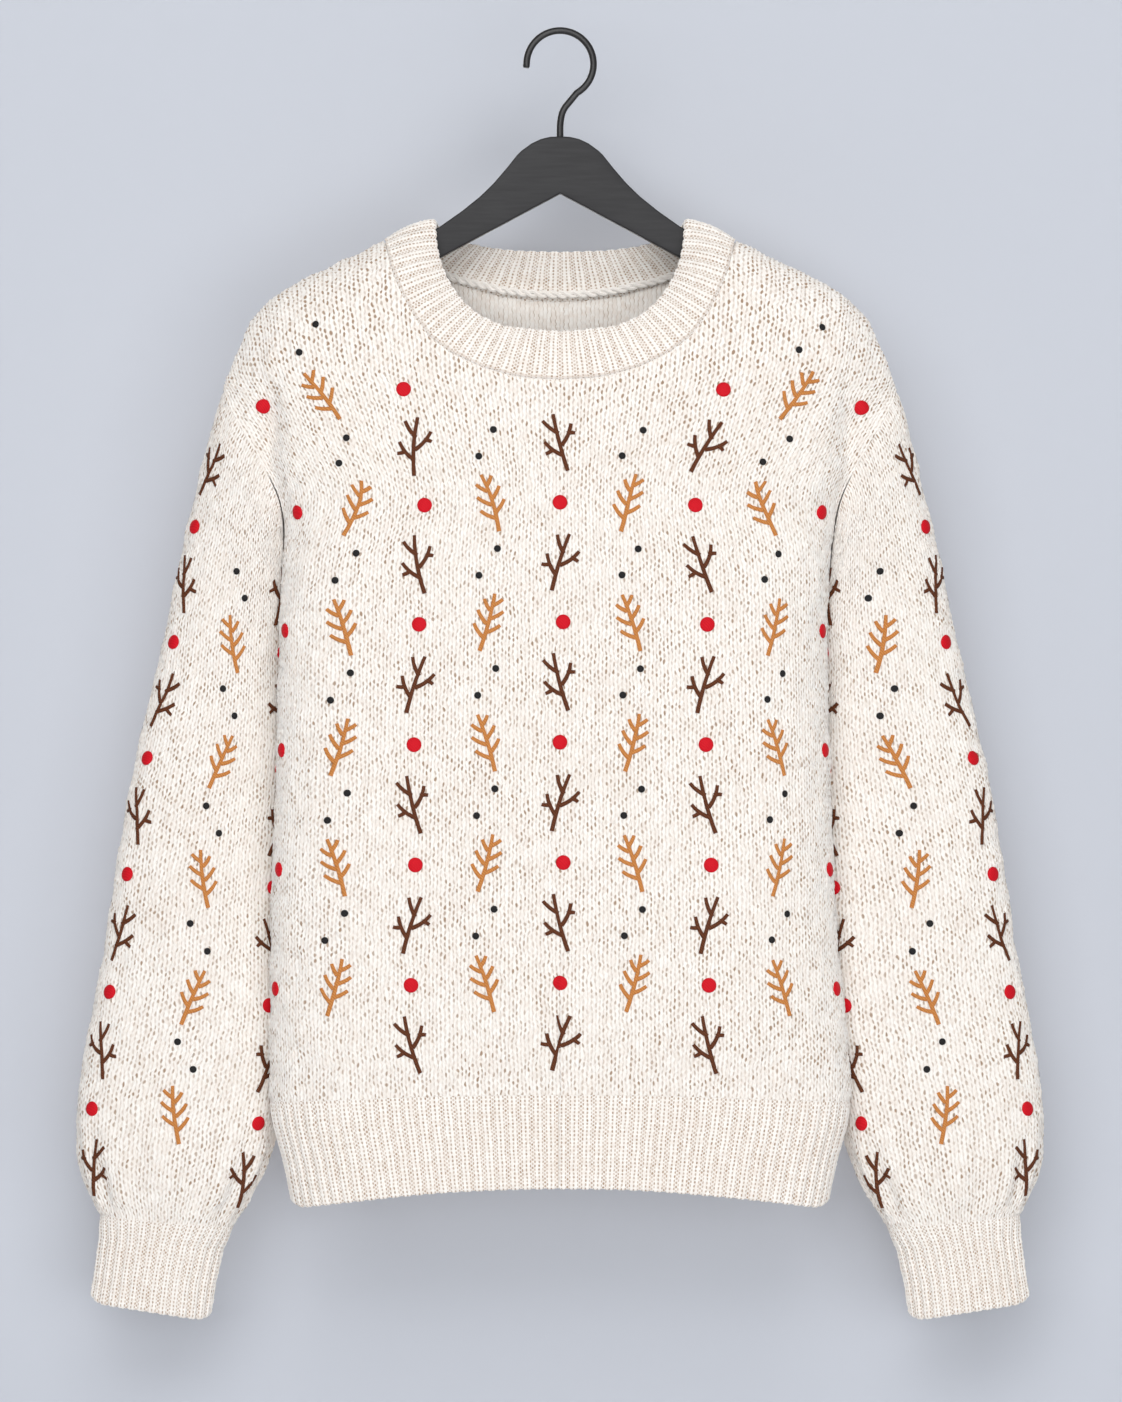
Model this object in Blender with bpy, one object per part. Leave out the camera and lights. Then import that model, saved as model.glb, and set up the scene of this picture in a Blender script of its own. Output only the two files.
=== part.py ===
import bmesh
import bpy
import numpy as np

for item in list(bpy.data.objects):
    bpy.data.objects.remove(item, do_unlink=True)

# A crew neck sweater with full sleeves, hanging on a flat hanger. Sizes are millimetres.
# The origin is the inside top of the hook. x runs across the chest and the front faces -y.
MM = 0.001
WALL = 3.0
BAND_WALL = 3.6
SEAM_GAP = 0.3
SEAM_PUSH = 1.8
HALF_GAP = 0.15

ARMHOLE_TOP_Z = -232.7
UNDERARM_Z = -342.0
SHOULDER_X = 219.6
NECK_X = 113.75
HEM_TOP_Z = -686.0
HEM_TOP_DROP = 6.0
ARMHOLE_DEPTH = 31.0
RIDGE_ROUND = 35.0
VALLEY_X = 182.0
VALLEY_WIDTH = 9.0
VALLEY_SHARE = 0.26
FOLD_HEIGHT = 1.5

HEM_RIBS = 100
CUFF_RIBS = 24
NECK_RIBS = 64
RIB_HEIGHT = 0.9

PANEL_ROWS_LOW = 8
PANEL_ROWS_HIGH = 12
SLEEVE_ROUND = 36
SLEEVE_ROUND_INSIDE = 24

# z, half width to the side seam or armhole, depth in front, depth behind, y of the side seam
BODY = np.array((
    (-80.0, 219.6, 38.0, 33.0, 0.0),
    (-160.0, 219.6, 42.0, 36.0, 0.0),
    (-200.0, 219.6, 45.0, 38.0, 0.0),
    (-232.7, 219.6, 47.0, 40.0, 0.0),
    (-250.0, 210.5, 48.0, 40.5, -0.6),
    (-268.0, 199.5, 49.0, 41.0, -1.5),
    (-286.0, 188.8, 50.0, 41.5, -2.5),
    (-305.0, 180.4, 51.0, 42.0, -3.8),
    (-322.0, 177.9, 51.5, 42.5, -5.0),
    (-342.0, 177.3, 52.0, 43.0, -6.0),
    (-400.0, 177.4, 54.0, 45.0, -8.0),
    (-500.0, 180.0, 56.0, 46.0, -8.0),
    (-600.0, 184.2, 55.0, 45.0, -8.0),
    (-655.0, 187.4, 52.0, 43.0, -8.0),
    (-686.0, 188.3, 47.0, 40.0, -8.0),
    (-760.0, 188.3, 46.0, 40.0, -8.0),
))

# x, z along the top of the shoulder
RIDGE = np.array((
    (0.0, -83.0),
    (60.0, -110.0),
    (90.0, -123.2),
    (113.75, -134.4),
    (139.4, -146.9),
    (166.4, -159.9),
    (178.0, -166.2),
    (187.5, -172.9),
    (194.6, -179.2),
    (199.9, -185.9),
    (206.4, -198.9),
    (212.2, -211.9),
    (216.8, -224.9),
    (219.6, -232.7),
))

# x, z of the front neckline, and of the back neckline
NECK_FRONT = np.array((
    (0.0, -226.9),
    (20.0, -226.0),
    (32.5, -224.0),
    (52.0, -218.2),
    (71.5, -208.7),
    (84.5, -198.3),
    (94.9, -184.6),
    (102.7, -169.7),
    (109.2, -153.4),
    (113.75, -134.4),
))
NECK_BACK = np.array((
    (0.0, -171.0),
    (20.0, -170.2),
    (40.0, -167.4),
    (68.0, -159.6),
    (85.0, -152.8),
    (100.0, -145.0),
    (113.75, -134.4),
))

# degrees from the middle, z of the neckband's top edge in front, and behind
BAND_TOP_FRONT = np.array((
    (0.0, -191.1),
    (18.7, -187.9),
    (32.5, -180.7),
    (44.2, -171.6),
    (55.5, -160.6),
    (65.8, -149.0),
    (75.0, -137.0),
    (82.0, -126.2),
    (86.0, -122.0),
    (90.0, -120.6),
))
BAND_TOP_BACK = np.array((
    (0.0, -141.7),
    (14.3, -140.8),
    (28.7, -138.5),
    (39.8, -135.9),
    (59.5, -129.0),
    (78.0, -123.0),
    (84.0, -121.2),
    (90.0, -120.6),
))
BAND_TOP_X = 81.25
BAND_TOP_FRONT_Y = -36.0
BAND_TOP_BACK_Y = 25.0
BAND_CROWN = 2.5
TAPE_DEPTH = 1.9
TAPE_RISE = 0.6
TAPE_HALF_HEIGHT = 2.2
TAPE_HALF_THICK = 1.3
TAPE_REACH = 0.31

# x of the tops of the columns of stitches: neckline first, then the shoulder
FRONT_TOPS = (
    0.0, 24.0, 46.0, 66.0, 83.0, 96.0, 104.5, 109.6, 112.4, 113.75,
    134.0, 156.0, 176.0, 193.0, 208.0, 219.6,
)
BACK_TOPS = (0.0, 26.0, 50.0, 72.0, 92.0, 106.0, 113.75, 136.0, 158.0, 178.0, 195.0, 208.5, 219.6)

# z, x of the sleeve's outer edge
SLEEVE_OUTER = np.array((
    (-232.7, 219.9),
    (-250.9, 223.8),
    (-276.9, 231.1),
    (-302.9, 238.0),
    (-341.9, 247.7),
    (-367.9, 254.2),
    (-432.9, 268.1),
    (-510.9, 283.7),
    (-562.9, 293.8),
    (-614.9, 301.6),
    (-666.9, 310.0),
    (-692.9, 313.4),
    (-712.0, 314.8),
    (-724.0, 314.4),
    (-736.0, 312.2),
    (-750.0, 307.5),
    (-760.0, 303.0),
    (-768.0, 300.2),
))
# z, x of the sleeve's inner edge
SLEEVE_INNER = np.array((
    (-342.0, 177.9),
    (-350.0, 178.8),
    (-373.0, 177.4),
    (-400.0, 175.0),
    (-450.0, 174.8),
    (-500.0, 175.8),
    (-600.0, 179.0),
    (-650.0, 181.2),
    (-690.0, 182.4),
    (-705.0, 183.6),
    (-718.9, 186.0),
    (-731.9, 190.4),
    (-744.9, 196.2),
    (-757.9, 203.2),
    (-768.0, 209.4),
    (-776.0, 213.0),
))
# share of the way down the sleeve, half depth, y of the middle
SLEEVE_DEPTH = np.array((
    (0.0, 31.0, 0.0),
    (0.04, 32.5, 2.0),
    (0.10, 33.0, 9.0),
    (0.15, 33.0, 14.5),
    (0.20, 33.0, 18.5),
    (0.30, 33.0, 22.5),
    (0.50, 35.0, 24.0),
    (0.70, 37.0, 23.0),
    (0.85, 38.0, 21.0),
    (0.93, 36.5, 20.0),
    (0.97, 32.0, 19.0),
    (1.0, 26.0, 18.0),
))
SLEEVE_TOP_Z = -232.7
SLEEVE_LENGTH = 535.3
SLEEVE_SLANT = 109.3
SLEEVE_END_SLANT = 8.0
LEAN = 4.5
LEAN_X = 178.0
LEAN_REACH = 55.0
GATHERS = 12
GATHER_HEIGHT = 1.8
GATHER_WALL = 1.6
# Shares of the sleeve's length at which its rounds lie, outside and inside
SLEEVE_PART_AT = 0.4
SLEEVE_PART_AIM = (0.2, 0.0, -0.98)
SLEEVE_ROUNDS = (
    0.012, 0.03, 0.06, 0.1, 0.15, 0.21, 0.3, SLEEVE_PART_AT, 0.5, 0.6, 0.7, 0.78, 0.84,
    0.875, 0.905, 0.93, 0.95, 0.968, 0.984, 1.0,
)
SLEEVE_ROUNDS_INSIDE = (
    0.012, 0.04, 0.09, 0.16, 0.27, SLEEVE_PART_AT, 0.53, 0.66, 0.77, 0.85, 0.91, 0.96, 1.0,
)
SEAM_FADE = 0.16

# share of the way down the cuff, outer edge x, z, inner edge x, z, half depth
CUFF = np.array((
    (0.0, 300.2, -768.0, 213.0, -776.0, 26.0),
    (0.25, 300.2, -782.0, 220.4, -791.5, 22.5),
    (0.6, 302.9, -802.5, 225.4, -813.8, 21.5),
    (1.0, 306.0, -826.6, 228.6, -838.8, 21.5),
))
CUFF_Y = 18.0
CUFF_WALL = 4.0
CUFF_AIM = (0.15, 0.0, -0.989)
# share of the way down the hem, half width as a share, depth as a share
HEM = np.array((
    (0.0, 1.0, 1.0),
    (0.25, 0.985, 0.97),
    (0.6, 0.952, 0.95),
    (1.0, 0.923, 0.95),
))
HEM_END_Z = -746.5
HEM_END_DROP = 15.0
HEM_END_X = 174.0
HEM_INSET = 0.9

# x, top z, bottom z of the hanger
HANGER = np.array((
    (0.0, -66.9, -104.0),
    (6.0, -67.1, -107.2),
    (12.0, -68.4, -110.4),
    (18.2, -71.2, -113.7),
    (26.6, -77.3, -118.2),
    (34.4, -87.2, -122.4),
    (42.9, -97.1, -126.9),
    (51.3, -105.4, -131.4),
    (63.7, -115.4, -138.0),
    (79.6, -126.6, -146.5),
    (96.0, -134.4, -154.6),
    (113.75, -139.4, -161.6),
    (140.0, -152.6, -173.0),
    (162.0, -163.6, -181.4),
    (172.0, -169.0, -183.6),
    (176.5, -172.0, -182.6),
    (178.2, -174.4, -179.6),
))
HANGER_THICK = 10.0
HANGER_ROUND = 2.2
ARM_SWEEP = 3.0
HOOK_WIRE_R = 2.25
HOOK_R = 21.75
STEM_DEPTH = 14.0
STEM_HOLE_R = 2.5


def smooth_table(table, column):
    # A table's column as a smooth curve of its first column.
    at = table[:, 0]
    order = np.argsort(at)
    fine = np.linspace(at.min(), at.max(), 801)
    values = np.interp(fine, at[order], table[order, column])
    spread = 17
    kernel = np.hanning(2 * spread + 1)
    kernel /= kernel.sum()
    padded = np.concatenate((
        2 * values[0] - values[spread:0:-1],
        values,
        2 * values[-1] - values[-2:-spread - 2:-1],
    ))
    return fine, np.convolve(padded, kernel, "valid")


BODY_CURVES = [smooth_table(BODY, column) for column in range(5)]
SLEEVE_OUTER_CURVE = smooth_table(SLEEVE_OUTER, 1)
SLEEVE_INNER_CURVE = smooth_table(SLEEVE_INNER, 1)
SLEEVE_DEPTH_CURVES = [smooth_table(SLEEVE_DEPTH, column) for column in range(3)]


def body_value(column, z):
    return np.interp(z, *BODY_CURVES[column])


def ease(value):
    value = np.clip(value, 0.0, 1.0)
    return value * value * (3.0 - 2.0 * value)


def ridge_share(x, z):
    # 0 on the shoulder ridge, 1 where the cloth hangs straight below it.
    nearest = np.full(np.shape(x), 1e9)
    for (x0, z0), (x1, z1) in zip(RIDGE[:-1], RIDGE[1:]):
        along = ((x - x0) * (x1 - x0) + (z - z0) * (z1 - z0)) / ((x1 - x0) ** 2 + (z1 - z0) ** 2)
        along = np.clip(along, 0.0, 1.0)
        nearest = np.minimum(nearest, np.hypot(x - x0 - along * (x1 - x0), z - z0 - along * (z1 - z0)))
    return np.sqrt(1.0 - (1.0 - np.clip(nearest / RIDGE_ROUND, 0.0, 1.0)) ** 2)


def body_y(x, z, front):
    # The y of the body's cloth at x and z.
    side = np.abs(x)
    edge = body_value(1, z)
    deep = body_value(2 if front else 3, z)
    share = np.clip(side / edge, 0.0, 1.0)
    armhole = np.clip((ARMHOLE_TOP_Z - z) / (ARMHOLE_TOP_Z - UNDERARM_Z), 0.012, 1.0)
    armhole_y = ARMHOLE_DEPTH * np.sqrt(np.clip(1.0 - (2.0 * armhole - 1.0) ** 2, 0.0, 1.0))
    at_z = np.minimum(z, ARMHOLE_TOP_Z - 1.3)
    at_edge = body_value(1, at_z)
    open_share = np.clip(armhole_y / (deep * ridge_share(at_edge, at_z)), 0.0, 0.85)
    power = 1.0 / (1.25 + 0.75 * ease(armhole))
    rounding = (1.0 - share ** (4.0 if front else 3.4)) ** power
    profile = (open_share ** 4 + rounding ** 4) ** 0.25
    # A soft hollow beside the arm, then low folds above the hem and under the arms
    valley = VALLEY_SHARE * ease((-205.0 - z) / 80.0) * np.exp(-(((side - VALLEY_X) / VALLEY_WIDTH) ** 2))
    valley = valley * (1.0 if front else 0.5)
    low_folds = ease((-520.0 - z) / 130.0) * np.sin(side * 0.062 + 0.9 * np.sign(x) + 0.4) * rounding
    arm_folds = np.exp(-(((z + 395.0) / 45.0) ** 2)) * np.sin((side - 0.35 * z) * 0.07) * share
    folds = FOLD_HEIGHT * (low_folds + arm_folds) * (1.0 - share ** 6)
    y = ridge_share(side, z) * (deep * profile * (1.0 - valley) + folds)
    return body_value(4, z) + (-y if front else y)


def top_z(x, front):
    # Where a panel ends: its neckline, or the shoulder.
    side = np.abs(x)
    neck = NECK_FRONT if front else NECK_BACK
    return np.where(
        side < NECK_X,
        np.interp(side, neck[:, 0], neck[:, 1]),
        np.interp(side, RIDGE[:, 0], RIDGE[:, 1]),
    )


def hem_top_z(x):
    return HEM_TOP_Z - HEM_TOP_DROP * (x / 188.0) ** 2


def panel_rows():
    # Shares of the height up to the underarm, then of the height above it, closer at the armhole's ends.
    low = np.linspace(0.0, 1.0, PANEL_ROWS_LOW + 1)
    turns = np.arange(1, PANEL_ROWS_HIGH + 1) * np.pi / PANEL_ROWS_HIGH
    high = (1.0 - np.cos(turns)) / 2.0
    return np.concatenate((low, np.ones_like(high))), np.concatenate((0.0 * low, high))


def grid_normals(grid, wraps, outward):
    down = np.gradient(grid, axis=0)
    if wraps:
        around = (np.roll(grid, -1, axis=1) - np.roll(grid, 1, axis=1)) / 2.0
    else:
        around = np.gradient(grid, axis=1)
    normals = np.cross(around, down)
    lengths = np.linalg.norm(normals, axis=2, keepdims=True)
    normals = normals / np.maximum(lengths, 1e-9)
    middle = normals[grid.shape[0] // 2, grid.shape[1] // 2]
    return normals if np.dot(middle, outward) > 0 else -normals


def body_normals(x, z, front):
    # Outward normals of the body's cloth, taken just inside its edges.
    step = 0.4
    side = np.minimum(np.abs(x), body_value(1, z) - 2.0) * np.sign(x)
    low = np.minimum(z, top_z(side, front) - 1.6)
    across = (body_y(side + step, low, front) - body_y(side - step, low, front)) / (2.0 * step)
    up = (body_y(side, low + step, front) - body_y(side, low - step, front)) / (2.0 * step)
    normals = np.stack((across, -np.ones_like(across), up), axis=-1)
    normals /= np.linalg.norm(normals, axis=-1, keepdims=True)
    return normals if front else -normals


def ridge_normals(x):
    # Outward normals along the top of the shoulder, straight up the middle of the cloth.
    side = np.abs(x)
    step = 3.0
    ahead = np.interp(side + step, RIDGE[:, 0], RIDGE[:, 1])
    rise = ahead - np.interp(side - step, RIDGE[:, 0], RIDGE[:, 1])
    run = np.minimum(side + step, SHOULDER_X) - (side - step)
    normals = np.stack((-rise / run * np.sign(x), 0.0 * side, np.ones_like(side)), axis=-1)
    return normals / np.linalg.norm(normals, axis=-1, keepdims=True)


def panel_grid(tops, front):
    tops = np.array(tops)
    tops = np.concatenate((-tops[:0:-1], tops))
    columns = np.sin(np.linspace(-0.5, 0.5, len(tops)) * np.pi)
    columns[[0, -1]] = (-1.0, 1.0)
    low_rows, high_rows = panel_rows()
    grid = np.zeros((len(low_rows), len(tops), 3))
    for j, (top, column) in enumerate(zip(tops, columns)):
        end = float(top_z(top, front))
        z = HEM_TOP_Z + low_rows * (UNDERARM_Z - HEM_TOP_Z) + high_rows * (end - UNDERARM_Z)
        blend = ease(0.3 * low_rows + 0.7 * high_rows)
        share = column * (1.0 - blend) + top / SHOULDER_X * blend
        edge = body_value(1, z)
        if abs(column) == 1.0:
            edge[-1] = SHOULDER_X
        x = edge * share
        x[-1] = top
        z = z + (hem_top_z(x[0]) - HEM_TOP_Z) * (1.0 - low_rows) ** 2
        grid[:, j, 0] = x
        grid[:, j, 1] = body_y(x, z, front)
        grid[:, j, 2] = z
    normals = body_normals(grid[..., 0], grid[..., 2], front)
    gap = -HALF_GAP if front else HALF_GAP
    ridge = np.abs(tops) >= NECK_X
    grid[-1, ridge, 1] = gap
    normals[-1, ridge] = ridge_normals(tops[ridge])
    for j in (0, -1):
        low = slice(0, PANEL_ROWS_LOW + 1)
        grid[low, j, 1] = body_value(4, grid[low, j, 2]) + gap
        normals[low, j] = (np.sign(columns[j]), 0.0, 0.0)
        normals[:, j, 0] = np.sign(columns[j]) * np.maximum(normals[:, j, 0] * np.sign(columns[j]), 0.05)
    normals /= np.linalg.norm(normals, axis=-1, keepdims=True)
    inside = grid - WALL * normals
    inside[-1, ridge, 1] = gap
    return grid, inside


def sleeve_ends(share):
    # Outer and inner ends of a round of the sleeve, as x, z.
    share = np.asarray(share, dtype=float)
    outer_z = SLEEVE_TOP_Z - SLEEVE_LENGTH * share
    slant = SLEEVE_END_SLANT + (SLEEVE_SLANT - SLEEVE_END_SLANT) * (1.0 - share) ** 2.3
    inner_z = outer_z - slant
    outer_x = np.interp(outer_z, *SLEEVE_OUTER_CURVE)
    inner_x = np.interp(inner_z, *SLEEVE_INNER_CURVE)
    return outer_x, outer_z, inner_x, inner_z


def squared(turn, power):
    return np.sign(turn) * np.abs(turn) ** power


def armhole_edge(turn):
    # The armhole at an angle round the sleeve: 0 on the shoulder, half a turn at the underarm.
    z = ARMHOLE_TOP_Z + (UNDERARM_Z - ARMHOLE_TOP_Z) * (1.0 - np.cos(turn)) / 2.0
    x = body_value(1, z)
    y = np.where(np.sin(turn) < 0, body_y(x, z, True), body_y(x, z, False))
    flat = np.abs(np.sin(turn)) < 1e-6
    y = np.where(flat, body_value(4, z), y)
    return np.stack((x, y, z), axis=-1)


def oval(outer_x, outer_z, inner_x, inner_z, deep, middle_y, turn, power=0.9):
    across = squared(np.cos(turn), power)
    x = (outer_x + inner_x) / 2.0 + across * (outer_x - inner_x) / 2.0
    z = (outer_z + inner_z) / 2.0 + across * (outer_z - inner_z) / 2.0
    y = middle_y + deep * squared(np.sin(turn), power)
    return np.stack((x, y, z), axis=-1)


def seam_aim(turn):
    # The way from the armhole's cut edge into the sleeve.
    low = (1.0 - np.cos(turn)) / 2.0
    aim = np.stack((np.ones_like(low), np.zeros_like(low), -1.2 * (1.0 - low)), axis=-1)
    return aim / np.linalg.norm(aim, axis=-1, keepdims=True)


def sleeve_surface(share, turn, gathered=True):
    # The right sleeve's outside at a share of its length and an angle round it.
    deep = np.interp(share, *SLEEVE_DEPTH_CURVES[1])
    middle_y = np.interp(share, *SLEEVE_DEPTH_CURVES[2])
    points = oval(*sleeve_ends(share), deep, middle_y, turn)
    first = oval(*sleeve_ends(0.0 * share), ARMHOLE_DEPTH, 0.0, turn)
    fade = np.clip(1.0 - share / SEAM_FADE, 0.0, 1.0) ** 2
    points = points + (armhole_edge(turn) - first) * fade[..., None]
    swell = 1.2 * np.sin(share * 17.0 + 2.0 * turn) * ease((share - 0.1) * 5.0) * ease((0.95 - share) * 8.0)
    if gathered:
        ripple = ease((share - 0.86) / 0.1) * ease((1.0 - share) / 0.03)
        swell = swell + GATHER_HEIGHT * ripple * np.cos(GATHERS * turn + 0.8 * np.sin(turn * 2.0))
    points[..., 0] += swell * np.cos(turn)
    points[..., 1] += swell * np.sin(turn)
    points += (SEAM_PUSH * ease(share / 0.012) * fade)[..., None] * seam_aim(turn)
    return points


def band_top(count):
    # The neckband's top edge, from the front middle round over +x.
    turn = np.linspace(0.0, 2.0 * np.pi, 721)
    degrees = np.degrees(turn)
    in_front = (degrees <= 90.0) | (degrees >= 270.0)
    off_front = np.minimum(degrees, 360.0 - degrees)
    off_back = np.abs(180.0 - degrees)
    x = BAND_TOP_X * squared(np.sin(turn), 0.72)
    deep = squared(np.cos(turn), 0.72)
    y = deep * np.where(in_front, BAND_TOP_FRONT_Y, -BAND_TOP_BACK_Y)
    z = np.where(
        in_front,
        np.interp(off_front, BAND_TOP_FRONT[:, 0], BAND_TOP_FRONT[:, 1]),
        np.interp(off_back, BAND_TOP_BACK[:, 0], BAND_TOP_BACK[:, 1]),
    )
    return resample(np.stack((x, y, z), axis=-1)[:-1], count)


def resample(loop, count):
    # Points at even spacing on a closed line's own chords.
    closed = np.concatenate((loop, loop[:1]))
    along = np.concatenate(((0.0,), np.cumsum(np.linalg.norm(np.diff(closed, axis=0), axis=1))))
    wanted = np.arange(count) * along[-1] / count
    return np.stack([np.interp(wanted, along, closed[:, k]) for k in range(3)], axis=-1)


def matched(loop, guide, count):
    # Points on a closed line's chords at the same shares as on its guide line.
    closed = np.concatenate((loop, loop[:1]))
    ring = np.concatenate((guide, guide[:1]))
    along = np.concatenate(((0.0,), np.cumsum(np.linalg.norm(np.diff(ring, axis=0), axis=1))))
    wanted = np.arange(count) * along[-1] / count
    return np.stack([np.interp(wanted, along, closed[:, k]) for k in range(3)], axis=-1)


def rib_wave(count, ribs):
    # Raised knit columns between narrow sunk ones, 1 to -1.
    per_rib = count // ribs
    pattern = {3: (1.0, 1.0, -1.0), 4: (0.9, 0.9, -1.0, -1.0)}[per_rib]
    return np.array(pattern * ribs)


def zip_loops(first, second, faces):
    # Triangles between two closed loops of corners that start side by side.
    i = 0
    j = 0
    while i < len(first) or j < len(second):
        next_first = (i + 0.5) / len(first) if i < len(first) else 9.0
        next_second = (j + 0.5) / len(second) if j < len(second) else 9.0
        a = first[i % len(first)]
        b = second[j % len(second)]
        if next_first <= next_second:
            faces.append((a, first[(i + 1) % len(first)], b))
            i += 1
        else:
            faces.append((a, second[(j + 1) % len(second)], b))
            j += 1


def add_grid(vertices, faces, grid, wraps):
    start = sum(len(part) for part in vertices)
    rows, columns = grid.shape[:2]
    vertices.append(grid.reshape(-1, 3))
    at = np.arange(rows * columns).reshape(rows, columns) + start
    for i in range(rows - 1):
        for j in range(columns if wraps else columns - 1):
            k = (j + 1) % columns
            a, b, c, d = at[i, j], at[i, k], at[i + 1, k], at[i + 1, j]
            if j < columns // 2:
                faces.extend(((a, b, c), (a, c, d)))
            else:
                faces.extend(((a, b, d), (b, c, d)))
    return at


def hung(points):
    # The sweater hangs a little to its right under the arms.
    side = np.clip((np.abs(points[:, 0]) - LEAN_X) / LEAN_REACH, -1.0, 1.0)
    shift = LEAN * np.cos(side * np.pi / 2.0) ** 2 * ease((-300.0 - points[:, 2]) / 90.0)
    shift = shift * ease((points[:, 2] + 690.0) / 130.0)
    moved = points.copy()
    moved[:, 0] -= shift
    return moved


def finish(name, vertices, faces, colour, roughness):
    points = hung(np.concatenate(vertices)) * MM
    mesh = bpy.data.meshes.new(name)
    mesh.from_pydata(points.tolist(), [], [tuple(int(k) for k in face) for face in faces])
    shape = bmesh.new()
    shape.from_mesh(mesh)
    bmesh.ops.triangulate(shape, faces=shape.faces[:])
    bmesh.ops.recalc_face_normals(shape, faces=shape.faces[:])
    shape.to_mesh(mesh)
    shape.free()
    made = bpy.data.objects.new(name, mesh)
    bpy.context.collection.objects.link(made)
    material = bpy.data.materials.new(name)
    material.use_nodes = True
    surface = material.node_tree.nodes["Principled BSDF"]
    surface.inputs["Base Color"].default_value = (*colour, 1.0)
    surface.inputs["Roughness"].default_value = roughness
    mesh.materials.append(material)
    return made


def tube_wall(name, outside, inside, colour, roughness):
    vertices = []
    faces = []
    outer = add_grid(vertices, faces, outside, True)
    inner = add_grid(vertices, faces, inside, True)
    for row in (0, -1):
        zip_loops(list(outer[row]), list(inner[row]), faces)
    return finish(name, vertices, faces, colour, roughness)


def panel_wall(name, outside, inside, colour, roughness):
    vertices = []
    faces = []
    outer = add_grid(vertices, faces, outside, False)
    inner = add_grid(vertices, faces, inside, False)

    def border(at):
        return list(at[0, :-1]) + list(at[:-1, -1]) + list(at[-1, :0:-1]) + list(at[:0:-1, 0])

    edge = border(outer)
    back_edge = border(inner)
    for k in range(len(edge)):
        n = (k + 1) % len(edge)
        faces.append((edge[k], edge[n], back_edge[n], back_edge[k]))
    return finish(name, vertices, faces, colour, roughness)


CREAM = (0.84, 0.80, 0.75)
CHARCOAL = (0.045, 0.045, 0.048)
BLACK_STEEL = (0.03, 0.03, 0.033)

def make_panel(name, outside, inside):
    # Each panel is parted level with the underarms, so that its walls keep to simple shapes.
    part = PANEL_ROWS_LOW
    for word, rows, edge, gap in (
        ("_lower", slice(0, part + 1), -1, -HALF_GAP),
        ("_upper", slice(part, None), 0, HALF_GAP),
    ):
        outer = outside[rows].copy()
        inner = inside[rows].copy()
        outer[edge, :, 2] += gap
        inner[edge, :, 2] += gap
        panel_wall(name + word, outer, inner, CREAM, 0.9)


# Front and back panels
front, front_inside = panel_grid(FRONT_TOPS, True)
back, back_inside = panel_grid(BACK_TOPS, False)
make_panel("front", front, front_inside)
make_panel("back", back, back_inside)


def armhole_loop(front_grid, back_grid, column):
    # Round the armhole from the shoulder, down the back and up the front.
    high = slice(PANEL_ROWS_LOW, None)
    down = back_grid[high, column][::-1].copy()
    up = front_grid[high, column].copy()
    down[0, 1] = 0.0
    down[-1, 1] = body_value(4, UNDERARM_Z)
    return np.concatenate((down, up[1:-1]))


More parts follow.
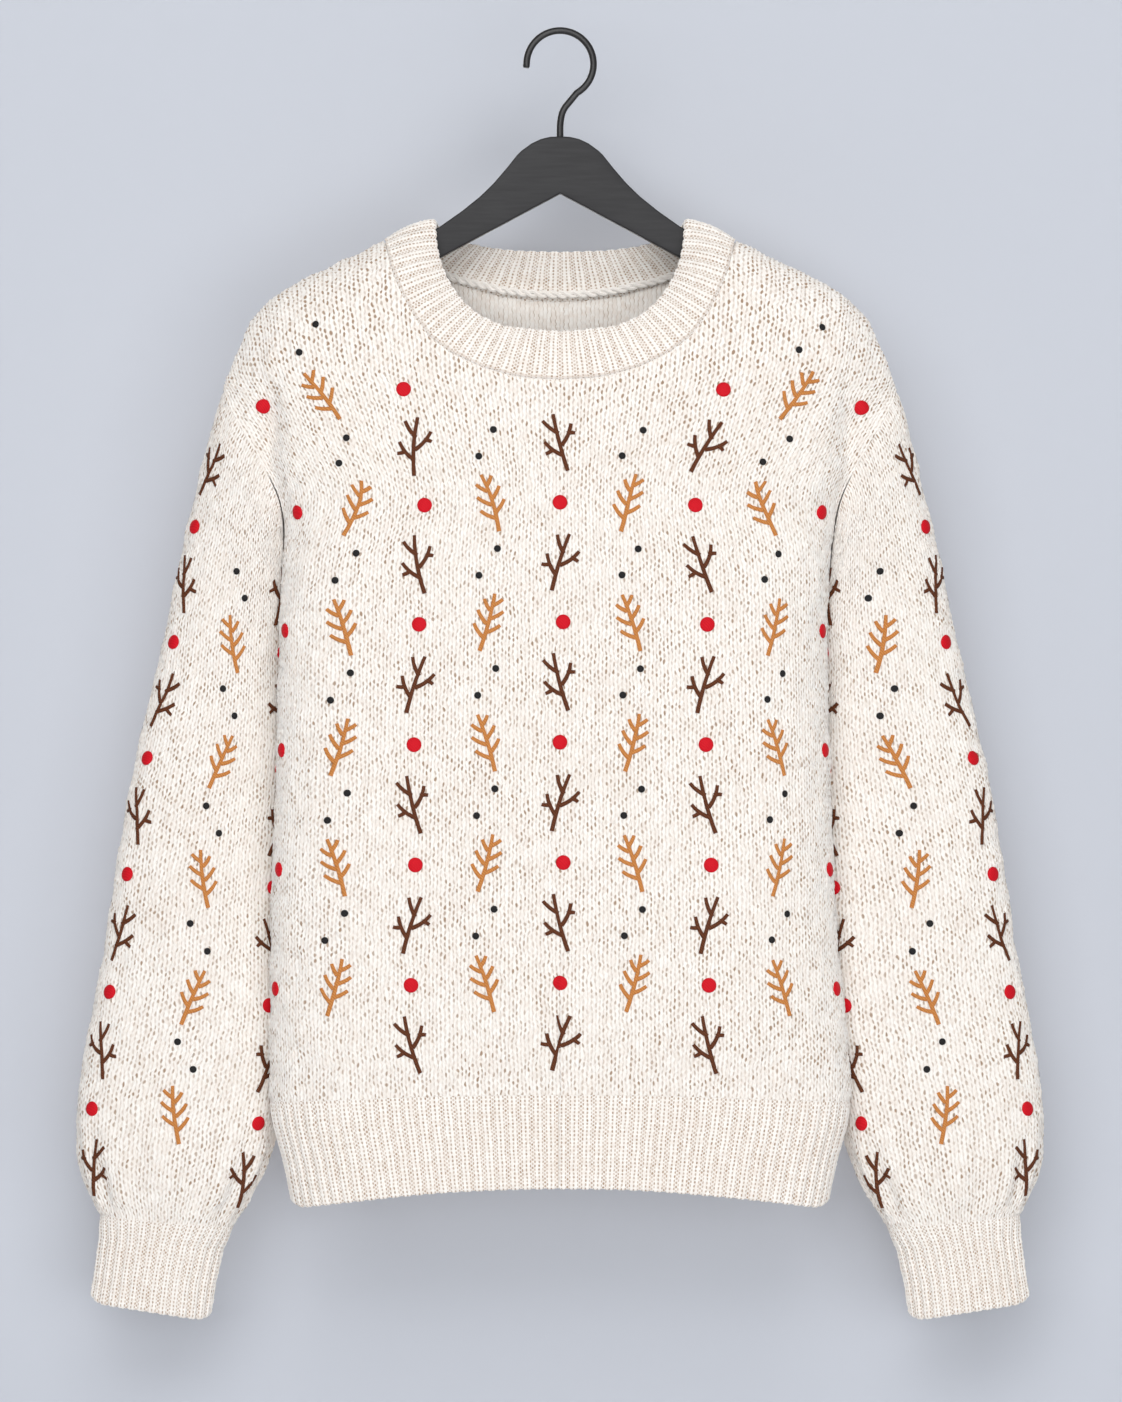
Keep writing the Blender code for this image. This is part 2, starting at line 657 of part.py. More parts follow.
def make_sleeve(name, column, side):
    mirror = np.array((side, 1.0, 1.0))
    loop = armhole_loop(front, back, column) * mirror
    loop_inside = armhole_loop(front_inside, back_inside, column) * mirror
    turns = np.arange(SLEEVE_ROUND) * 2.0 * np.pi / SLEEVE_ROUND
    outside = sleeve_surface(*np.meshgrid(SLEEVE_ROUNDS, turns, indexing="ij"))
    # The seam round lies on the panels' own cut edge, a thread's width off it.
    aim = seam_aim(turns)
    seam = matched(loop, loop_turns(loop), SLEEVE_ROUND) + SEAM_GAP * aim
    seam_inside = matched(loop_inside, loop_turns(loop_inside), SLEEVE_ROUND) + SEAM_GAP * aim
    outside = np.concatenate((seam[None], outside))
    inner_turns = np.arange(SLEEVE_ROUND_INSIDE) * 2.0 * np.pi / SLEEVE_ROUND_INSIDE
    inner_shares = np.array(SLEEVE_ROUNDS_INSIDE)
    plain = sleeve_surface(*np.meshgrid(inner_shares, inner_turns, indexing="ij"), gathered=False)
    normals = grid_normals(plain, True, (0.0, 0.0, 0.0))
    centre = plain.mean(axis=1, keepdims=True)
    facing = np.sign(np.sum(normals * (plain - centre), axis=(1, 2)))
    normals = normals * facing[:, None, None]
    wall = WALL + GATHER_WALL * ease((inner_shares - 0.84) / 0.1) * ease((1.02 - inner_shares) / 0.03)
    inside = plain - wall[:, None, None] * normals
    pick = np.arange(SLEEVE_ROUND_INSIDE) * SLEEVE_ROUND / SLEEVE_ROUND_INSIDE
    seam_coarse = np.stack([
        np.interp(pick, np.arange(SLEEVE_ROUND + 1), np.append(seam_inside[:, k], seam_inside[0, k]))
        for k in range(3)
    ], axis=-1)
    # At the underarm the two cut edges lie side by side, so the sleeve keeps its own wall there.
    own = ease((((1.0 - np.cos(inner_turns)) / 2.0) - 0.62) / 0.3)[:, None]
    first_own = np.stack([
        np.interp(pick, np.arange(SLEEVE_ROUND + 1), np.append(seam[:, k], seam[0, k]))
        for k in range(3)
    ], axis=-1) - WALL * normals[0]
    seam_coarse = seam_coarse * (1.0 - own) + first_own * own
    inside = np.concatenate((seam_coarse[None], inside))
    # The sleeve is parted above the elbow, as the panels are at the underarm.
    part = 1 + SLEEVE_ROUNDS.index(SLEEVE_PART_AT)
    part_inside = 1 + SLEEVE_ROUNDS_INSIDE.index(SLEEVE_PART_AT)
    for word, rows, rows_inside, edge, gap in (
        ("_upper", slice(0, part + 1), slice(0, part_inside + 1), -1, -HALF_GAP),
        ("_lower", slice(part, None), slice(part_inside, None), 0, HALF_GAP),
    ):
        outer = outside[rows].copy()
        inner = inside[rows_inside].copy()
        outer[edge] += gap * np.array(SLEEVE_PART_AIM)
        inner[edge] += gap * np.array(SLEEVE_PART_AIM)
        tube_wall(name + word, outer * mirror, inner * mirror, CREAM, 0.9)
    return outside[-1], inside[-1]


def loop_turns(loop):
    # A round guide with the loop's corners at even angles.
    turns = np.arange(len(loop)) * 2.0 * np.pi / len(loop)
    return np.stack((np.cos(turns), np.sin(turns), 0.0 * turns), axis=-1)


def make_cuff(name, side, edge, edge_inside):
    mirror = np.array((side, 1.0, 1.0))
    count = CUFF_RIBS * 4
    aim = np.array(CUFF_AIM)
    turns = np.arange(count) * 2.0 * np.pi / count
    inner_turns = np.arange(SLEEVE_ROUND_INSIDE) * 2.0 * np.pi / SLEEVE_ROUND_INSIDE
    shares = np.array((0.22, 0.6, 1.0))
    wave = RIB_HEIGHT * rib_wave(count, CUFF_RIBS)
    rows = [matched(edge, loop_turns(edge), count) + SEAM_GAP * aim]
    inner_rows = [edge_inside + SEAM_GAP * aim]
    for share in shares:
        values = [np.interp(share, CUFF[:, 0], CUFF[:, k]) for k in range(1, 6)]
        ring = oval(*values, CUFF_Y, turns, 0.95)
        ring[:, 0] += wave * np.cos(turns)
        ring[:, 1] += wave * np.sin(turns)
        rows.append(ring)
        inner = oval(*values, CUFF_Y, inner_turns, 0.95)
        inner[:, 0] -= CUFF_WALL * np.cos(inner_turns)
        inner[:, 1] -= CUFF_WALL * np.sin(inner_turns)
        inner_rows.append(inner)
    tube_wall(name, np.array(rows) * mirror, np.array(inner_rows) * mirror, CREAM, 0.9)


for word, column, side in (("left", -1, 1.0), ("right", 0, -1.0)):
    last, last_inside = make_sleeve("sleeve_" + word, column, side)
    make_cuff("cuff_" + word, side, last, last_inside)


def make_hem():
    count = HEM_RIBS * 3
    inner_count = HEM_RIBS
    loop = np.concatenate((front[0], back[0, -2:0:-1]))
    loop_inside = np.concatenate((front_inside[0], back_inside[0, -2:0:-1]))
    loop[0, 1] = loop[len(front[0]) - 1, 1] = body_value(4, HEM_TOP_Z)
    loop_inside[0, 1] = loop_inside[len(front[0]) - 1, 1] = body_value(4, HEM_TOP_Z)
    outer = resample(loop, count)
    inner = matched(loop_inside, loop, inner_count)
    side_y = float(body_value(4, HEM_TOP_Z))
    wave = RIB_HEIGHT * rib_wave(count, HEM_RIBS)
    drop = np.array((0.0, 0.0, -SEAM_GAP))
    rows = []
    inner_rows = []

    def lowered(ring, share, raise_by):
        wide = np.interp(share, HEM[:, 0], HEM[:, 1])
        deep = np.interp(share, HEM[:, 0], HEM[:, 2])
        low = ring.copy()
        low[:, 0] = ring[:, 0] * wide
        low[:, 1] = side_y + (ring[:, 1] - side_y) * deep
        end = HEM_END_Z - HEM_END_DROP * (low[:, 0] / HEM_END_X) ** 2
        low[:, 2] = ring[:, 2] + (end - ring[:, 2]) * share + drop[2]
        ahead = np.roll(low, -1, axis=0) - np.roll(low, 1, axis=0)
        out = np.stack((ahead[:, 1], -ahead[:, 0]), axis=-1)
        out /= np.linalg.norm(out, axis=1, keepdims=True)
        low[:, :2] += out * np.asarray(raise_by)[..., None]
        return low

    for share in (0.0, 0.45, 1.0):
        rows.append(lowered(outer, share, wave))
        inner_rows.append(lowered(inner, share, -HEM_INSET * np.ones(inner_count)))
    tube_wall("hem_rib", np.array(rows), np.array(inner_rows), CREAM, 0.9)


make_hem()


def neck_loop(front_grid, back_grid):
    # The panels' neckline from the front middle, over +x and back round.
    middle = len(FRONT_TOPS) - 1
    reach = FRONT_TOPS.index(NECK_X)
    back_middle = len(BACK_TOPS) - 1
    back_reach = BACK_TOPS.index(NECK_X)
    right = front_grid[-1, middle:middle + reach + 1].copy()
    behind = back_grid[-1, back_middle - back_reach:back_middle + back_reach + 1][::-1].copy()
    left = front_grid[-1, middle - reach:middle].copy()
    right[-1, 1] = 0.0
    left[0, 1] = 0.0
    return np.concatenate((right, behind[1:-1], left))


def make_neckband():
    count = NECK_RIBS * 4
    inner_count = NECK_RIBS
    base = neck_loop(front, back)
    base_inside = neck_loop(front_inside, back_inside)
    foot = resample(base, count)
    foot_inside = matched(base_inside, base, count)
    head = band_top(count)
    toward = head - foot
    toward /= np.linalg.norm(toward, axis=1, keepdims=True)
    foot = foot + SEAM_GAP * toward
    foot_inside = foot_inside + SEAM_GAP * toward
    around = np.roll(head + foot, -3, axis=0) - np.roll(head + foot, 3, axis=0)
    out = np.cross(around, toward)
    out /= np.linalg.norm(out, axis=1, keepdims=True)
    if out[0, 1] > 0:
        out = -out
    wave = RIB_HEIGHT * rib_wave(count, NECK_RIBS)
    rows = [foot]
    inner_rows = [foot_inside[::4]]
    for share in (0.5, 1.0):
        line = foot + (head - foot) * share + out * BAND_CROWN * 4.0 * share * (1.0 - share)
        rows.append(line + out * wave[:, None])
        inner_rows.append((line - out * BAND_WALL)[::4])
    tube_wall("neckband", np.array(rows), np.array(inner_rows), CREAM, 0.9)
    return foot_inside, toward, out


neck_inside, neck_up, neck_out = make_neckband()


def sweep(name, path, frames_a, frames_b, half_a, half_b, sides, colour, roughness):
    turns = np.arange(sides) * 2.0 * np.pi / sides
    rings = (
        path[:, None]
        + frames_a[:, None] * (half_a * np.cos(turns))[None, :, None]
        + frames_b[:, None] * (half_b * np.sin(turns))[None, :, None]
    )
    vertices = []
    faces = []
    at = add_grid(vertices, faces, rings, True)
    faces.append(tuple(at[0]))
    faces.append(tuple(at[-1]))
    return finish(name, vertices, faces, colour, roughness)


# Linked seam inside the back neck
count = len(neck_inside)
span = np.arange(count)
behind = (span > count * TAPE_REACH) & (span < count * (1.0 - TAPE_REACH))
tape_up = neck_up[behind][::4]
tape_out = neck_out[behind][::4]
tape_path = neck_inside[behind][::4] - TAPE_DEPTH * tape_out + TAPE_RISE * tape_up
sweep("neck_tape", tape_path, tape_up, tape_out, TAPE_HALF_HEIGHT, TAPE_HALF_THICK, 8, CREAM, 0.9)


def make_hanger():
    table = np.concatenate((HANGER[:0:-1] * (-1.0, 1.0, 1.0), HANGER))
    half = HANGER_THICK / 2.0
    rings = []
    for x, top, bottom in table:
        height = top - bottom
        bevel = min(HANGER_ROUND, height * 0.3)
        sweep_y = ARM_SWEEP * (abs(x) / 178.0) ** 3
        thin = half * (0.72 if abs(x) > 178.0 else 0.92 if abs(x) > 176.0 else 1.0)
        corner = min(bevel, thin * 0.8)
        outline = (
            (-thin + corner, top), (thin - corner, top), (thin - corner * 0.3, top - bevel * 0.3),
            (thin, top - bevel), (thin, bottom + bevel), (thin - corner * 0.3, bottom + bevel * 0.3),
            (thin - corner, bottom), (-thin + corner, bottom), (-thin + corner * 0.3, bottom + bevel * 0.3),
            (-thin, bottom + bevel), (-thin, top - bevel), (-thin + corner * 0.3, top - bevel * 0.3),
        )
        rings.append([(x, y - sweep_y, z) for y, z in outline])
    vertices = []
    faces = []
    at = add_grid(vertices, faces, np.array(rings), True)
    faces.append(tuple(at[0]))
    faces.append(tuple(at[-1]))
    body = finish("hanger_body", vertices, faces, CHARCOAL, 0.45)
    # Hole that the hook's stem is screwed into
    ends = np.array(((0.0, 0.0, HANGER[0, 1] - STEM_DEPTH - 0.3), (0.0, 0.0, HANGER[0, 1] + 5.0)))
    side = np.array(((1.0, 0.0, 0.0), (1.0, 0.0, 0.0)))
    deep = np.array(((0.0, 1.0, 0.0), (0.0, 1.0, 0.0)))
    drill = sweep("drill", ends, side, deep, STEM_HOLE_R, STEM_HOLE_R, 16, CHARCOAL, 0.45)
    cut = body.modifiers.new("stem hole", "BOOLEAN")
    cut.operation = "DIFFERENCE"
    cut.solver = "EXACT"
    cut.object = drill
    bpy.context.view_layer.update()
    solid = bpy.data.meshes.new_from_object(body.evaluated_get(bpy.context.evaluated_depsgraph_get()))
    body.modifiers.clear()
    body.data = solid
    bpy.data.objects.remove(drill, do_unlink=True)


make_hanger()


def make_hook():
    centre_z = -HOOK_R + HOOK_WIRE_R
    start = HANGER[0, 1] - STEM_DEPTH
    points = [(0.0, z) for z in (start, start + 7.0, HANGER[0, 1], -60.0)]
    points += [(0.7, -54.0), (2.2, -49.4), (5.4, -45.0)]
    for degrees in range(-44, 181, 12):
        angle = np.radians(degrees)
        points.append((HOOK_R * np.cos(angle), centre_z + HOOK_R * np.sin(angle)))
    points.append((-HOOK_R - 0.4, centre_z - 2.6))
    flat = np.array(points)
    path = np.stack((flat[:, 0], 0.0 * flat[:, 0], flat[:, 1]), axis=-1)
    ahead = np.gradient(path, axis=0)
    ahead /= np.linalg.norm(ahead, axis=1, keepdims=True)
    deep = np.tile((0.0, 1.0, 0.0), (len(path), 1))
    across = np.cross(ahead, deep)
    sweep("hanger_hook", path, across, deep, HOOK_WIRE_R, HOOK_WIRE_R, 10, BLACK_STEEL, 0.35)


make_hook()
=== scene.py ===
import bmesh
import bpy
import numpy as np
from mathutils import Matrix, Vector


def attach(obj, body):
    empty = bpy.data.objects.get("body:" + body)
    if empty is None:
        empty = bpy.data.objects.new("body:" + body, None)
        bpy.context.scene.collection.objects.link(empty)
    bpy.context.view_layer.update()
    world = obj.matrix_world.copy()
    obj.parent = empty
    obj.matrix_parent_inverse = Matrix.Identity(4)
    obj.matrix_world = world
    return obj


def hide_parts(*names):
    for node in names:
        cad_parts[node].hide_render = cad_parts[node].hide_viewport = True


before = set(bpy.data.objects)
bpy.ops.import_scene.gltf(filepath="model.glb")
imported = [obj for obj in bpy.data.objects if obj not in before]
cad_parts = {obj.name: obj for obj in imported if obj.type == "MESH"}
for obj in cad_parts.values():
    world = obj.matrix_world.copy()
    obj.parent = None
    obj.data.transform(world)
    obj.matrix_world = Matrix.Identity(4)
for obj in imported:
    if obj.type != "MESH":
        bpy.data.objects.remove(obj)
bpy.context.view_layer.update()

# Lengths are millimetres until a mesh is made. x runs across the chest and the front faces -y.
mm = 0.001

knit = {
    "wale": 4.8,
    "course": 4.0,
    "legRise": 3.0,  # courses that a stitch's leg rises for each wale across
    "wall": 3.0,
    "seamWall": 1.2,
    "wallFade": 9.0,
    "relief": 0.6,
    "reliefLuck": (0.45, 1.35),
    "seamDip": 0.35,
    "seamReach": 3.0,
    "neckDip": 2.0,
    "uneven": 0.22,
    "lump": 0.26,
}
rib = {
    "course": 2.6,
    "columns": 6,
    "relief": 1.0,
    "reliefLuck": (0.75, 1.2),
    "uneven": 0.12,
    "insideFade": 3.0,
    "insideThin": 0.4,  # share of the wall that is missing inside, where a band is sewn on
    "insideRelief": 0.6,
    "edgeCourse": 0.3,
}
creases = {"cloth": 72.0, "wire": 50.0, "board": 40.0}  # degrees that stay sharp
chance = np.random.default_rng(24)

# The body's form, which the panels, the armholes and the bands share.
body = {
    # z, half width to the side seam or armhole, depth in front, depth behind, y of the side seam
    "rows": [
        (-80.0, 219.6, 38.0, 33.0, 0.0),
        (-160.0, 219.6, 42.0, 36.0, 0.0),
        (-200.0, 219.6, 45.0, 38.0, 0.0),
        (-232.7, 219.6, 47.0, 40.0, 0.0),
        (-250.0, 210.5, 48.0, 40.5, -0.6),
        (-268.0, 199.5, 49.0, 41.0, -1.5),
        (-286.0, 188.8, 50.0, 41.5, -2.5),
        (-305.0, 180.4, 51.0, 42.0, -3.8),
        (-322.0, 177.9, 51.5, 42.5, -5.0),
        (-342.0, 177.3, 52.0, 43.0, -6.0),
        (-400.0, 177.4, 54.0, 45.0, -8.0),
        (-500.0, 180.0, 56.0, 46.0, -8.0),
        (-600.0, 184.2, 55.0, 45.0, -8.0),
        (-655.0, 187.4, 52.0, 43.0, -8.0),
        (-686.0, 188.3, 47.0, 40.0, -8.0),
        (-760.0, 188.3, 46.0, 40.0, -8.0),
    ],
    # x, z along the top of the shoulder
    "ridge": [
        (0.0, -83.0),
        (60.0, -110.0),
        (90.0, -123.2),
        (113.75, -134.4),
        (139.4, -146.9),
        (166.4, -159.9),
        (178.0, -166.2),
        (187.5, -172.9),
        (194.6, -179.2),
        (199.9, -185.9),
        (206.4, -198.9),
        (212.2, -211.9),
        (216.8, -224.9),
        (219.6, -232.7),
    ],
    # x, z of the necklines
    "neckFront": [
        (0.0, -226.9),
        (20.0, -226.0),
        (32.5, -224.0),
        (52.0, -218.2),
        (71.5, -208.7),
        (84.5, -198.3),
        (94.9, -184.6),
        (102.7, -169.7),
        (109.2, -153.4),
        (113.75, -134.4),
    ],
    "neckBack": [
        (0.0, -171.0),
        (20.0, -170.2),
        (40.0, -167.4),
        (68.0, -159.6),
        (85.0, -152.8),
        (100.0, -145.0),
        (113.75, -134.4),
    ],
    "neckX": 113.75,
    "shoulderX": 219.6,
    "armholeTopZ": -232.7,
    "underarmZ": -342.0,
    "armholeDepth": 31.0,
    "armholeLeast": 0.012,
    "armholeMost": 0.85,
    "ridgeRound": 42.0,
    "frontRound": 7.0,
    "backRound": 4.0,
    "hemTopZ": -686.0,
    "hemTopDrop": 6.0,
    "hemTopX": 188.0,
    # the front folds back near the underarm, from a share of the armhole's height
    "foldOver": 0.75,
    "foldOverFrom": 0.5,
    "foldOverSpan": 0.35,
    # the soft hollow beside the arm
    "valleyX": 187.0,
    "valleyWidth": 8.0,
    "valleyShare": 0.34,
    "valleyBehind": 0.5,
    "valleyTopZ": -212.0,
    "valleyTopFade": 50.0,
    "valleyEndZ": -335.0,
    "valleyEndFade": 45.0,
    # folds above the hem and under the arms
    "foldHeight": 1.5,
    "lowFoldZ": -520.0,
    "lowFoldFade": 130.0,
    "lowFoldWave": 0.062,
    "armFoldZ": -395.0,
    "armFoldReach": 45.0,
    "armFoldWave": 0.07,
    "armFoldSlope": 0.35,
    "fanReach": 60.0,
    "fanSmooth": 26.0,
    "seamGap": 0.15,
    "wales": 84,
}


def smoothCurve(rows, column):
    # One column of a table as a smooth curve of its first column.
    rows = np.array(rows)
    at = rows[:, 0]
    order = np.argsort(at)
    fine = np.linspace(at.min(), at.max(), 801)
    values = np.interp(fine, at[order], rows[order, column])
    spread = 17
    kernel = np.hanning(2 * spread + 1)
    kernel /= kernel.sum()
    before = 2 * values[0] - values[spread:0:-1]
    after = 2 * values[-1] - values[-2:-spread - 2:-1]
    return fine, np.convolve(np.concatenate((before, values, after)), kernel, "valid")


bodyCurves = [smoothCurve(body["rows"], column) for column in range(5)]
ridge = np.array(body["ridge"])


def bodyValue(column, z):
    return np.interp(z, *bodyCurves[column])


def ease(value):
    value = np.clip(value, 0.0, 1.0)
    return value * value * (3.0 - 2.0 * value)


def ridgeShare(x, z):
    # 0 on the shoulder's ridge, 1 where the cloth hangs straight below it.
    nearest = np.full(np.shape(x), 1e9)
    for (x0, z0), (x1, z1) in zip(ridge[:-1], ridge[1:]):
        along = ((x - x0) * (x1 - x0) + (z - z0) * (z1 - z0)) / ((x1 - x0) ** 2 + (z1 - z0) ** 2)
        along = np.clip(along, 0.0, 1.0)
        nearest = np.minimum(nearest, np.hypot(x - x0 - along * (x1 - x0), z - z0 - along * (z1 - z0)))
    return np.sqrt(1.0 - (1.0 - np.clip(nearest / body["ridgeRound"], 0.0, 1.0)) ** 2)


def armholeShare(z, front, deep):
    # How far down the armhole z is, and how far the cloth stands open there as a share of its depth.
    armhole = (body["armholeTopZ"] - z) / (body["armholeTopZ"] - body["underarmZ"])
    armhole = np.clip(armhole, body["armholeLeast"], 1.0)
    armholeY = body["armholeDepth"] * np.sqrt(np.clip(1.0 - (2.0 * armhole - 1.0) ** 2, 0.0, 1.0))
    if front:
        folded = ease((armhole - body["foldOverFrom"]) / body["foldOverSpan"])
        armholeY = armholeY * (1.0 - body["foldOver"] * folded)
    atZ = np.minimum(z, body["armholeTopZ"] - 1.3)  # short of the ridge's end, where there is no depth
    ridgeDeep = deep * ridgeShare(bodyValue(1, atZ), atZ)
    return armhole, np.clip(armholeY / ridgeDeep, 0.0, body["armholeMost"])


def valleyShare(side, z, front):
    offMiddle = (side - body["valleyX"]) / body["valleyWidth"]
    fadeTop = ease((body["valleyTopZ"] - z) / body["valleyTopFade"])
    fadeEnd = ease((z - body["valleyEndZ"]) / body["valleyEndFade"])
    valley = body["valleyShare"] * fadeTop * fadeEnd * np.exp(-(offMiddle ** 2))
    return valley * (1.0 if front else body["valleyBehind"])


def foldWaves(x, z, share, rounding):
    side = np.abs(x)
    lowFade = ease((body["lowFoldZ"] - z) / body["lowFoldFade"])
    lowFolds = lowFade * np.sin(side * body["lowFoldWave"] + 0.9 * np.sign(x) + 0.4) * rounding
    armFade = np.exp(-(((z - body["armFoldZ"]) / body["armFoldReach"]) ** 2))
    armFolds = armFade * np.sin((side - body["armFoldSlope"] * z) * body["armFoldWave"]) * share
    return body["foldHeight"] * (lowFolds + armFolds) * (1.0 - share ** 6)


def bodyY(x, z, front):
    # The y of the body's cloth at x and z.
    side = np.abs(x)
    deep = bodyValue(2 if front else 3, z)
    share = np.clip(side / bodyValue(1, z), 0.0, 1.0)
    armhole, openShare = armholeShare(z, front, deep)
    power = 1.0 / (1.25 + 0.75 * ease(armhole))  # fuller under the arm than at the shoulder
    rounding = (1.0 - share ** (body["frontRound"] if front else body["backRound"])) ** power
    profile = (openShare ** 4 + rounding ** 4) ** 0.25
    folds = foldWaves(x, z, share, rounding)
    y = ridgeShare(side, z) * (deep * profile * (1.0 - valleyShare(side, z, front)) + folds)
    return bodyValue(4, z) + (-y if front else y)


def topZ(x, front):
    # Where a panel ends: its neckline, or the shoulder.
    side = np.abs(x)
    neck = np.array(body["neckFront" if front else "neckBack"])
    onNeck = np.interp(side, neck[:, 0], neck[:, 1])
    return np.where(side < body["neckX"], onNeck, np.interp(side, ridge[:, 0], ridge[:, 1]))


def hemTopZ(x):
    return body["hemTopZ"] - body["hemTopDrop"] * (x / body["hemTopX"]) ** 2


drift = {
    "shift": 4.5,
    "sideX": 178.0,
    "reach": 55.0,
    "topZ": -300.0,
    "topFade": 90.0,
    "endZ": -690.0,
    "endFade": 130.0,
}


def hung(points):
    # The sweater hangs a little to its right under the arms.
    side = np.clip((np.abs(points[:, 0]) - drift["sideX"]) / drift["reach"], -1.0, 1.0)
    shift = drift["shift"] * np.cos(side * np.pi / 2.0) ** 2
    shift = shift * ease((drift["topZ"] - points[:, 2]) / drift["topFade"])
    shift = shift * ease((points[:, 2] - drift["endZ"]) / drift["endFade"])
    moved = points.copy()
    moved[:, 0] -= shift
    return moved


def unit(vectors):
    return vectors / np.maximum(np.linalg.norm(vectors, axis=-1, keepdims=True), 1e-9)


def resample(loop, count):
    # Points at even spacing round a closed line.
    closed = np.concatenate((loop, loop[:1]))
    along = np.concatenate(((0.0,), np.cumsum(np.linalg.norm(np.diff(closed, axis=0), axis=1))))
    wanted = np.arange(count) * along[-1] / count
    return np.stack([np.interp(wanted, along, closed[:, k]) for k in range(3)], axis=-1)


def lineNormals(lines, wraps):
    # Normals of a field of lines that run up the cloth side by side.
    up = np.gradient(lines, axis=1)
    if wraps:
        across = np.roll(lines, -1, axis=0) - np.roll(lines, 1, axis=0)
    else:
        across = np.gradient(lines, axis=0)
    return unit(np.cross(across, up))


def readLines(lines, along, wanted):
    # Points at wanted distances up each line: rows of them, one column a line.
    out = np.empty(wanted.shape + (3,))
    for q in range(len(lines)):
        for k in range(3):
            out[:, q, k] = np.interp(wanted[:, q], along[q], lines[q, :, k])
    return out


# Where each part of a shell lies on its flat map, as shares of the map.
bake = {
    "outerWide": 0.64,
    "innerFrom": 0.66,
    "innerWide": 0.33,
    "high": 0.94,
    # row or column of the shell, and the band of the map that its rim takes
    "panelEnds": ((0, (0.95, 0.96)), (-1, (0.965, 0.975))),
    "panelSides": ((0, (0.98, 0.985)), (-1, (0.99, 0.995))),
    "sleeveEnds": ((0, (0.95, 0.96)), (-1, (0.97, 0.98))),
    "rimKnit": (0.25, 0.0),
}


def newShell():
    return {"points": [], "faces": [], "knit": [], "bake": [], "slots": []}


def addFaces(shell, faces, knitUv, bakeUv, slot):
    alive = (faces[:, 0] != faces[:, 1]) & (faces[:, 1] != faces[:, 2]) & (faces[:, 2] != faces[:, 0])
    shell["faces"].append(faces[alive])
    shell["knit"].append(knitUv[alive])
    shell["bake"].append(bakeUv[alive])
    shell["slots"].append(np.full(int(alive.sum()), slot))


def addLayer(shell, points, keep, knitUv, bakeUv, slot, wraps=False):
    # A grid of corners. keep names the row whose corner each place shares, so that clipped rows close up.
    start = sum(len(part) for part in shell["points"])
    rows, columns = points.shape[:2]
    flat = points.reshape(-1, 3)
    shell["points"].append(flat)
    ids = keep * columns + np.arange(columns)
    if wraps:
        ids = np.concatenate((ids, ids[:, :1]), axis=1)
    corners = (
        (ids[:-1, :-1], knitUv[:-1, :-1], bakeUv[:-1, :-1]),
        (ids[:-1, 1:], knitUv[:-1, 1:], bakeUv[:-1, 1:]),
        (ids[1:, 1:], knitUv[1:, 1:], bakeUv[1:, 1:]),
        (ids[1:, :-1], knitUv[1:, :-1], bakeUv[1:, :-1]),
    )
    a, b, c, d = (corner[0].ravel() for corner in corners)
    short = np.linalg.norm(flat[a] - flat[c], axis=1) <= np.linalg.norm(flat[b] - flat[d], axis=1)
    for order, chosen in (
        (((0, 1, 2), (0, 2, 3)), short),
        (((0, 1, 3), (1, 2, 3)), ~short),
    ):
        for trio in order:
            faces = np.stack([corners[k][0].ravel()[chosen] for k in trio], axis=1) + start
            knits = np.stack([corners[k][1].reshape(-1, 2)[chosen] for k in trio], axis=1)
            bakes = np.stack([corners[k][2].reshape(-1, 2)[chosen] for k in trio], axis=1)
            addFaces(shell, faces, knits, bakes, slot)
    return ids + start


def addRim(shell, first, firstAt, second, secondAt, band):
    # Triangles between two lines of corners, in step with how far along each corner is.
    faces = []
    places = []
    i = 0
    j = 0
    while i < len(first) - 1 or j < len(second) - 1:
        nextFirst = firstAt[i + 1] if i < len(first) - 1 else np.inf
        nextSecond = secondAt[j + 1] if j < len(second) - 1 else np.inf
        if nextFirst <= nextSecond:
            faces.append((first[i], first[i + 1], second[j]))
            places.append(((firstAt[i], band[0]), (firstAt[i + 1], band[0]), (secondAt[j], band[1])))
            i += 1
        else:
            faces.append((first[i], second[j + 1], second[j]))
            places.append(((firstAt[i], band[0]), (secondAt[j + 1], band[1]), (secondAt[j], band[1])))
            j += 1
    places = np.array(places)
    knits = np.broadcast_to(np.array(bake["rimKnit"]), places.shape).copy()
    addFaces(shell, np.array(faces), knits, places, 0)


def finishMesh(name, points, faces, materials, slots=None, layers=()):
    used, packed = np.unique(faces, return_inverse=True)
    mesh = bpy.data.meshes.new(name)
    mesh.from_pydata((hung(points[used]) * mm).tolist(), [], packed.reshape(-1, 3).tolist())
    for title, values in layers:
        mesh.uv_layers.new(name=title).data.foreach_set("uv", values.ravel())
    for material in materials:
        mesh.materials.append(material)
    if slots is not None:
        mesh.polygons.foreach_set("material_index", slots.astype(np.int32))
    shape = bmesh.new()
    shape.from_mesh(mesh)
    bmesh.ops.recalc_face_normals(shape, faces=shape.faces[:])
    shape.to_mesh(mesh)
    shape.free()
    mesh.shade_smooth()
    mesh.set_sharp_from_angle(angle=np.radians(creases["cloth"]))
    piece = bpy.data.objects.new(name, mesh)
    bpy.context.collection.objects.link(piece)
    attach(piece, "root")
    print("made", name, len(mesh.polygons), "triangles")
    return piece


def finishShell(shell, name, materials):
    layers = (
        ("OFBake", np.concatenate(shell["bake"])),
        ("knit", np.concatenate(shell["knit"])),
    )
    points = np.concatenate(shell["points"])
    faces = np.concatenate(shell["faces"])
    return finishMesh(name, points, faces, materials, np.concatenate(shell["slots"]), layers)


